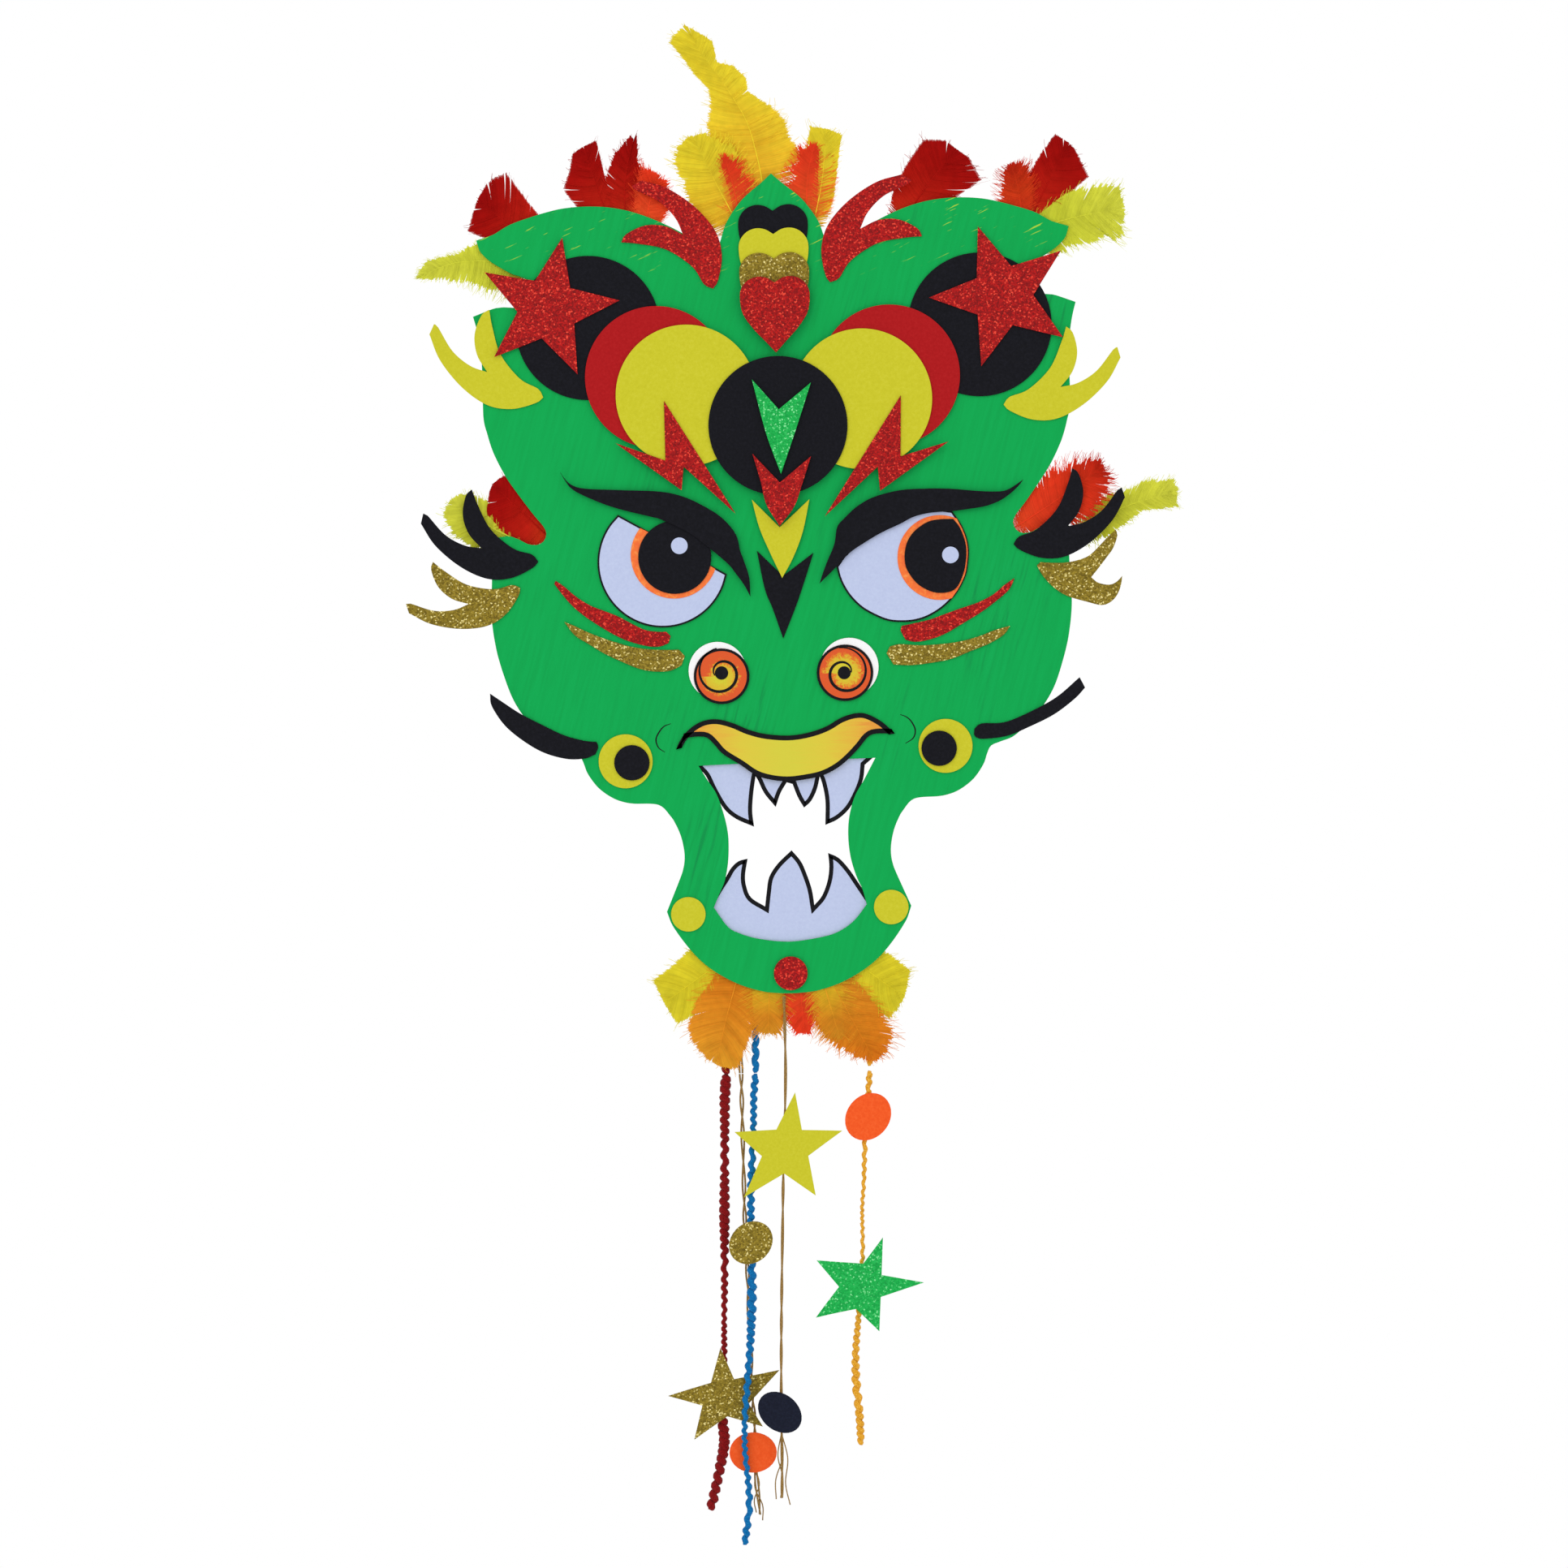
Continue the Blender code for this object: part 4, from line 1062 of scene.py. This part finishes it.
# %% Grow one feather
# How far apart barbs grow, and how wide one is at each share of its length.
BARB_STEP_MM = 0.5
BARB_SHARES = {0.0: 1.0, 0.25: 1.0, 0.5: 1.0, 0.75: 1.0, 0.92: 0.9, 1.0: 0.6}
# Where the down ends and the last barb grows, as shares of the shaft.
DOWN_SHARE = 0.2
LAST_BARB_SHARE = 0.93
# How a barb bows, and how the vane is cupped.
BARB_BOW = 0.16
VANE_CUP_MM = 0.8
# How often a stray hair grows, and how wide it is against the space between barbs.
HAIR_CHANCE = 0.6
HAIR_SHARE = 0.22
# Half a barb's width against that space, how far each laps over the next, and how unevenly they lie.
BARB_HALF = 0.64
SHINGLE_MM = 0.03
WAVE_MM = 0.3
SPLIT = 0.014
DOWN_SWAY = 0.04
# How the feather rises towards its tip, and how thick and proud its quill is.
LIFT_POWER = 1.6
QUILL_RADIUS = 0.4
QUILL_RISE_MM = 0.15


def even_places(points, count):
    """count + 1 places, evenly spaced along a line of points."""
    runs = [0.0]
    for a, b in zip(points, points[1:]):
        runs.append(runs[-1] + (b - a).length)
    places = []
    leg = 0
    for k in range(count + 1):
        run = runs[-1] * k / count
        while leg < len(points) - 2 and runs[leg + 1] < run:
            leg += 1
        share = (run - runs[leg]) / (runs[leg + 1] - runs[leg])
        places.append(points[leg].lerp(points[leg + 1], share))
    return places


def shade(colours, share, glow):
    mixed = [at_share([linear(c)[k] for c in colours], share) * glow for k in range(3)]
    return (*mixed, 1.0)


def barb(bm, dye, sides, u, reach, sway, half, wave, finish):
    """One barb: a thin strip from the shaft towards the feather's edge. u is how far up it grows."""
    roots, rims = sides
    y, lift, colours, glow = finish
    root_share = LAST_BARB_SHARE * u
    ahead = (at_share(roots, root_share + 0.03) - at_share(roots, root_share)).normalized()
    rows = []
    for along, taper in BARB_SHARES.items():
        s = along * reach
        row = []
        for sign in (-1, 1):
            wide = sign * half * taper
            root = at_share(roots, root_share + wide * LAST_BARB_SHARE)
            span = at_share(rims, u + sway * s * s + wide) - root
            corner = root + span * s - ahead * (BARB_BOW * span.length * s * (1 - s))
            cupped = (VANE_CUP_MM + WAVE_MM * wave) * s * s
            height = y - lift * u**LIFT_POWER + cupped + SHINGLE_MM * sign
            vert = bm.verts.new((corner.x * MM, height * MM, corner.z * MM))
            vert[dye] = shade(colours, min(1, u * 0.85 + s * 0.18), glow * (0.9 + 0.1 * s))
            row.append(vert)
        rows.append(row)
    for a, b in zip(rows, rows[1:]):
        bm.faces.new((a[0], a[1], b[1], b[0]))


def feather(name, shaft, edges, colours, y, lift, seed, node, slits=0.07, fluff=0.4):
    """A feather of barbs that run from its shaft out to its two edges, all listed root first, in mm.

    y is where its root lies, lift is how far its tip stands towards the viewer, slits is how often the
    vane splits, and fluff is how uneven its edge is and how many stray hairs it has.
    """
    chance = random.Random(seed)
    line = spline_through([(x, 0.0, z) for x, z in shaft], BARB_STEP_MM)
    bm = bmesh.new()
    dye = bm.verts.layers.float_color.new("dye")
    for edge in edges:
        rim = [Vector((x, 0.0, z)) for x, z in edge] + [line[-1]]
        count = int(max(run_length(rim), run_length(line)) / BARB_STEP_MM)
        sides = even_places(line, count), even_places(rim, count)
        split, drop = 0.0, 1.0
        for i in range(count):
            u = (i + 0.5) / count
            if chance.random() < slits:
                split, drop = chance.uniform(-SPLIT, SPLIT), chance.uniform(1 - 0.12 * fluff, 1.0)
            down = max(0.0, 1 - u / DOWN_SHARE)
            reach = drop * chance.uniform(1 - 0.14 * fluff, 1 + 0.05 * fluff)
            reach *= 1 + down * chance.uniform(-0.3, 0.12)
            sway = split + down * chance.uniform(-DOWN_SWAY, DOWN_SWAY)
            wave = chance.uniform(-1, 1) * (0.12 + 1.2 * down)
            glow = chance.uniform(0.93, 1.06) * (1 + 0.02 * math.sin(37 * u + seed))
            half = BARB_HALF / count * (1 - 0.4 * down)
            barb(bm, dye, sides, u, reach, sway, half, wave, (y, lift, colours, glow))
            if chance.random() < HAIR_CHANCE * fluff:
                stray = chance.uniform(1.02, 1.22), chance.uniform(-0.05, 0.05)
                looks = y - WAVE_MM, lift, colours, glow * 1.05
                barb(bm, dye, sides, u, *stray, HAIR_SHARE / count, chance.uniform(-3, 1), looks)
    add_shaft(bm, dye, line, colours, y, lift)
    belongs(finish_mesh(name, bm, DYED_FEATHER, closed=False), "root", node)


def add_shaft(bm, dye, line, colours, y, lift):
    """The pale quill down the middle, thick at the root."""
    total = len(line) - 1
    points, radii = [], []
    for i in range(0, total + 1, 4):
        share = i / total
        height = y - lift * share**LIFT_POWER - QUILL_RISE_MM
        points.append(Vector((line[i].x, height, line[i].z)))
        radii.append(QUILL_RADIUS * (1 - 0.8 * share))
    before = len(bm.verts)
    sweep(bm, points, radii, 5)
    bm.verts.ensure_lookup_table()
    for index in range(before, len(bm.verts)):
        bm.verts[index][dye] = shade(colours, 0.6, 1.05)


# %% [markdown]
# ## Where each feather goes
#
# Each is named for its place. Its shaft, its two edges and its dyes run from root to tip, because dye sinks
# in unevenly: a sun-yellow feather is orange at its fluffy root, and a red one is darker at its edge.

# %% Choose the dyes
YELLOW = ["#e8d23a", "#e6d52f", "#dfd02e", "#d8ca30"]
SUN = ["#f2b02e", "#efc52f", "#ead432", "#e2d030"]
RED = ["#d8401c", "#bf2216", "#a81410", "#9a0f0f"]
FLAME = ["#f77a2a", "#f2542a", "#ee4526", "#e83e22"]
AMBER = ["#e07a1c", "#e48a22", "#e69628", "#e0a02c"]
LIME = ["#c9cf3f", "#d2d63c", "#d8da44", "#d4d648"]

# %% Glue on the crest feathers
crest = "crest_feathers"
feather("crest_long", [(-2.4, 220), (-7, 245), (-12, 262), (-22, 279), (-32, 293), (-41, 309)],
    [[(-14, 222), (-25, 236), (-31, 250), (-32.5, 260), (-30, 270), (-31, 278), (-37, 284), (-44, 294),
      (-50, 301)],
     [(10, 222), (16, 236), (17, 244), (13, 248.6), (9.3, 254), (8.6, 260), (4, 266), (-3, 271),
      (-10, 275.7),
      (-11, 283), (-17, 288.6), (-25, 290), (-27, 301)]],
    SUN, 1.6, 5.0, 11, crest, 0.03, 0.45)
feather("crest_fan_left", [(-15, 207), (-25, 226), (-33, 243), (-38, 254)],
    [[(-24, 203), (-31, 206), (-38.6, 216), (-43, 223), (-46.4, 236), (-48.6, 241), (-46.4, 248.6),
      (-41, 253.6)],
     [(-2, 216), (-8, 236), (-18, 250), (-33, 256)]],
    SUN, 1.0, 4.5, 12, crest, 0.03, 0.7)
feather("crest_fan_right", [(20, 208), (25, 230), (28, 256)],
    [[(12, 212), (13, 230), (16, 246), (19.3, 258.3)],
     [(27, 208), (31.4, 223), (33, 234), (34.3, 244), (36.1, 253.3)]],
    SUN, 1.0, 3.5, 13, crest, 0.04, 0.5)
feather("crest_tuft_left", [(-16, 214), (-19, 230), (-23, 245)],
    [[(-27, 218), (-32, 230), (-29, 243)], [(-8, 216), (-7, 228), (-14, 242)]],
    FLAME, 0.6, 2.6, 14, crest, 0.3, 2.4)
feather("crest_tuft_right", [(17, 212), (18, 232), (22, 250)],
    [[(7, 216), (6, 232), (13, 247)], [(28, 214), (31, 230), (29, 246)]],
    FLAME, 0.6, 2.6, 15, crest, 0.3, 2.4)

# %% Glue on the ear feathers
ear = "ear_feathers_left"
feather("left_ear_outer", [(-113, 200), (-130, 213), (-145, 225)],
    [[(-122, 192), (-136, 203), (-150.7, 209.7), (-147, 220)],
     [(-108, 208), (-120, 224), (-130.7, 239), (-140, 234)]],
    RED, 1.2, 3.5, 21, ear, 0.08, 0.2)
feather("left_ear_inner", [(-78, 208), (-86, 230), (-92, 250)],
    [[(-86, 204), (-96, 220), (-103, 229), (-99, 240), (-97.7, 246.5)],
     [(-73, 212), (-81, 232), (-85.5, 253.4)]],
    RED, 1.2, 4.0, 22, ear, 0.08, 0.2)
feather("left_ear_spike", [(-72, 208), (-72, 232), (-67, 253)],
    [[(-80, 212), (-83, 232), (-77, 247), (-69, 255)],
     [(-62, 212), (-60, 230), (-65, 244), (-65.4, 256.5)]],
    RED, 0.9, 4.0, 23, ear, 0.1, 0.5)
feather("left_ear_tuft", [(-64, 206), (-60, 222), (-56, 236)],
    [[(-71, 212), (-71, 230), (-64, 242)], [(-56, 208), (-49, 220), (-50, 232)]],
    FLAME, 0.7, 3.0, 28, ear, 0.2, 1.2)
feather("left_ear_wisp", [(-116, 194), (-138, 195), (-158, 194), (-177, 187)],
    [[(-114, 206), (-132, 209), (-147, 204), (-156, 199.5), (-171, 196), (-175, 191)],
     [(-122, 182), (-132, 176), (-146, 181), (-163, 186), (-172, 186)]],
    LIME, 1.2, 3.0, 24, ear, 0.12, 1.0)
ear = "ear_feathers_right"
feather("right_ear_inner", [(62, 206), (77, 227), (92, 244)],
    [[(56, 210), (60, 226), (68, 240), (75.6, 250), (86.4, 249)],
     [(70, 204), (88, 218), (104, 229), (98, 240)]],
    RED, 1.2, 3.5, 25, ear, 0.08, 0.2)
feather("right_ear_outer", [(126, 206), (136, 226), (147, 246)],
    [[(121, 212), (126, 230), (134, 243), (140.4, 250.6)],
     [(132, 204), (143, 218), (157, 229), (150.3, 242.4)]],
    RED, 1.2, 4.5, 26, ear, 0.08, 0.25)
feather("right_ear_tuft", [(123, 206), (122, 222), (118, 237)],
    [[(114, 210), (110, 222), (112, 233)], [(131, 210), (132, 226), (127, 238)]],
    FLAME[3:] + RED[:2], 0.8, 3.0, 29, ear, 0.25, 1.6)
feather("right_ear_yellow", [(124, 202), (148, 209), (174, 213)],
    [[(126, 212), (136, 218), (145.7, 223.6), (164, 225.7), (172, 225)],
     [(128, 193), (139, 190), (148.6, 194), (158, 195), (166, 200), (171.4, 194), (173.6, 200)]],
    LIME, 0.9, 3.5, 27, ear, 0.1, 0.8)

# %% Glue on the cheek feathers
cheek = "cheek_feathers_left"
feather("left_cheek_yellow", [(-128, 56), (-148, 67), (-162, 78)],
    [[(-130, 66), (-140, 75), (-148, 80), (-157, 81)],
     [(-136, 50), (-146, 50), (-155, 55), (-163, 62), (-166.9, 69.4), (-165, 74)]],
    LIME, 1.2, 3.0, 31, cheek, 0.08, 0.6)
feather("left_cheek_red", [(-112, 56), (-127, 71), (-141, 85)],
    [[(-104, 62), (-118, 77), (-130, 87), (-135.6, 89.4)],
     [(-118, 48), (-130, 53), (-138.8, 60.6), (-145, 71), (-143, 81)]],
    RED, 1.0, 2.5, 32, cheek, 0.08, 0.2)
cheek = "cheek_feathers_right"
feather("right_cheek_red", [(114, 56), (138, 71), (161, 87)],
    [[(112, 66), (123, 78), (131, 84), (143.8, 90.6), (158, 91.6)],
     [(118, 48), (127.5, 53), (140, 54), (152.5, 58.8), (165, 70), (165.3, 81.3)]],
    FLAME[1:] + RED[1:2], 1.2, 4.0, 33, cheek, 0.16, 1.5)
feather("right_cheek_yellow", [(146, 55), (170, 66), (197, 73)],
    [[(146, 64), (160, 72), (172.5, 75), (180, 79), (195, 80)],
     [(148, 47), (155, 47.5), (165, 52.5), (172, 58), (180, 63.8), (190, 64), (197.5, 65)]],
    LIME, 0.9, 4.0, 34, cheek, 0.1, 0.9)

# %% Glue on the chin feathers
chin = "chin_feathers"
feather("chin_yellow_left", [(-26, -148), (-44, -160), (-63, -173)],
    [[(-30, -138), (-50, -146), (-60, -155), (-69.3, -161.4)],
     [(-20, -160), (-38, -177), (-50, -181), (-57, -184)]],
    YELLOW, 1.6, 1.5, 41, chin, 0.03, 0.4)
feather("chin_orange_left", [(-24, -154), (-32, -180), (-38, -204)],
    [[(-38, -154), (-48, -170), (-53, -186), (-50, -193), (-43, -201)],
     [(-12, -160), (-15, -180), (-21.4, -194), (-27, -207), (-34, -206)]],
    AMBER, 1.0, 2.5, 43, chin, 0.04, 0.5)
feather("chin_middle_left", [(-10, -156), (-11, -174), (-12, -190)],
    [[(-24, -160), (-27, -180), (-18, -192)], [(2, -160), (2, -180), (-5, -191)]],
    SUN[:2] + AMBER[2:], 0.9, 0.5, 44, chin, 0.2, 1.4)
feather("chin_middle_red", [(4, -156), (5, -174), (6, -190)],
    [[(-6, -160), (-6, -178), (2, -191)], [(13, -160), (15, -178), (9, -191)]],
    FLAME, 0.7, 0.4, 45, chin, 0.15, 1.2)
feather("chin_down_right", [(14, -156), (19, -176), (24, -194)],
    [[(6, -160), (8, -178), (14, -192)], [(24, -158), (32, -174), (34, -192)]],
    SUN[:2] + AMBER[2:], 0.5, 0.8, 47, chin, 0.3, 1.8)
feather("chin_orange_right", [(15, -154), (28, -180), (41, -205)],
    [[(4, -162), (7, -178), (11.4, -191), (20, -197), (31.4, -203)],
     [(26, -154), (38, -168), (46, -179), (51.4, -188.6), (51.4, -196), (47, -201)]],
    AMBER[::-1], 1.1, 2.5, 46, chin, 0.08, 1.0)
feather("chin_yellow_right", [(24, -148), (40, -161), (56, -173)],
    [[(32, -140), (46, -149), (60, -159.3)], [(18, -162), (34, -180), (49.3, -185)]],
    YELLOW, 1.6, 1.5, 48, chin, 0.03, 0.5)
print("feathers glued on")

# %% [markdown]
# ## Hang the strands
#
# Each yarn is glued behind the chin, and comes out below the feathers. The short stretch that is glued is a
# piece of its own on the face, and the free part swings from it.

# %% Glue the top ends behind the chin
BACK_THREADS_MM, FRONT_THREADS_MM = 2.4, 1.6
YARNS = {
    "red_yarn": (6.0, RED_YARN, 5.0, [(-31, 3.4, -168), (-32, 3.6, -185), (-32.9, 3.6, -208.6)]),
    "blue_yarn": (4.4, BLUE_YARN, 5.5, [(-17.6, 3.4, -168), (-18, 3.6, -186), (-18.6, 3.6, -208.6)]),
    "yellow_yarn": (4.0, YELLOW_YARN, 5.0, [(37, 3.4, -168), (38, 3.6, -188), (37.8, 3.6, -206.6)]),
}
for index, (slot, (width, material, pitch, route)) in enumerate(YARNS.items()):
    stub, _ = crinkled(f"{slot}_glued_end", route, width, pitch, material, 60 + index)
    belongs(stub, "root")
route = [(-25, 3.4, -168), (-25.7, 3.6, -186), (-25.7, 3.6, -208.6)]
stub, _ = thread_pair("back_threads_glued_end", route, BACK_THREADS_MM, 26.0)
belongs(stub, "root")
print("top ends glued")

# %% Hang the free part of each
STRANDS = {
    "red": (
        RED_YARN_ROUTE, 4.2, (0.95, 0.9, 0.8, 0.95, 0.75, 0.5, 0.65, 0.9, 1.0, 1.0), ["star_tag_gold"],
    ),
    "blue": (
        BLUE_YARN_ROUTE, 4.8, (0.95, 0.9, 0.95, 1.05, 1.15, 1.0, 0.75, 0.9, 0.95), ["disc_tag_gold"],
    ),
    "yellow": (
        YELLOW_YARN_ROUTE, 4.2, (1.0, 0.85, 0.65, 0.65, 0.7, 1.05, 1.2, 1.15),
        ["disc_tag_orange_right", "star_tag_green"],
    ),
}
for seed, (colour, (route, pitch, swells, tags)) in enumerate(STRANDS.items(), 1):
    yarn = f"{colour}_yarn"
    width, material = YARNS[yarn][:2]
    free, line = crinkled(f"{yarn}_strand", route, width, pitch, material, seed, swells)
    hang(free, line, yarn, width, f"{colour}_strand")

# %% Hang the gold threads
back, back_line = thread_pair("back_gold_thread_pair", BACK_THREAD_ROUTE, BACK_THREADS_MM, 34.0)
back_ends = [(-23.6, 6.0, -426), (-20.6, 6.4, -430)]
back_fray = fray("back_thread_frays", (-23.3, 6.2, -405), back_ends, "blue_strand")
hang(back, back_line, "back_gold_threads", BACK_THREADS_MM, "blue_strand")
front, front_line = thread_pair("front_gold_thread_pair", FRONT_THREAD_ROUTE, FRONT_THREADS_MM, 40.0)
front_ends = [(-13.6, -1.0, -418.5), (-11.4, -0.6, -418), (-6.8, -0.8, -421.5)]
front_fray = fray("front_thread_frays", (-10.2, -0.8, -386), front_ends, "front_strand")
hang(front, front_line, "front_gold_threads", FRONT_THREADS_MM, "front_strand")

# %% [markdown]
# ## Light and floor
#
# Flat card under a hard lamp shows glare and black shadows. A bright, even room with one large soft light
# from above on the left shows each colour as it is, with a soft shadow under each glued edge.

# %% Light the kite
FLOOR_Z = -0.62
FLOOR_SIZE = 6.0
FLOOR_BACK = 0.6


def add_light(name, place, size, power):
    data = bpy.data.lights.new(name, "AREA")
    data.size = size
    data.energy = power
    lamp = bpy.data.objects.new(name, data)
    bpy.context.scene.collection.objects.link(lamp)
    lamp.location = place
    lamp.rotation_euler = (AIM - lamp.location).to_track_quat("-Z", "Y").to_euler()


def add_stage():
    bm = bmesh.new()
    bmesh.ops.create_grid(bm, x_segments=1, y_segments=1, size=FLOOR_SIZE / 2)
    bmesh.ops.translate(bm, verts=bm.verts, vec=(0, FLOOR_BACK - FLOOR_SIZE / 2, FLOOR_Z))
    floor = finish_mesh("floor", bm, dyed_card("pale_floor_paint", "#f6f6f6", "#f8f8f8", "#fafafa"))


def add_world():
    world = bpy.data.worlds.new("white_room")
    world.use_nodes = True
    sky = world.node_tree.nodes["Background"]
    sky.inputs["Color"].default_value = (1.0, 1.0, 1.0, 1.0)
    sky.inputs["Strength"].default_value = 1.0
    bpy.context.scene.world = world
    bpy.context.scene.view_settings.view_transform = "Standard"


add_light("key_softbox", (-0.9, -1.6, 1.1), 1.1, 4.0)
add_stage()
add_world()
print("lit")
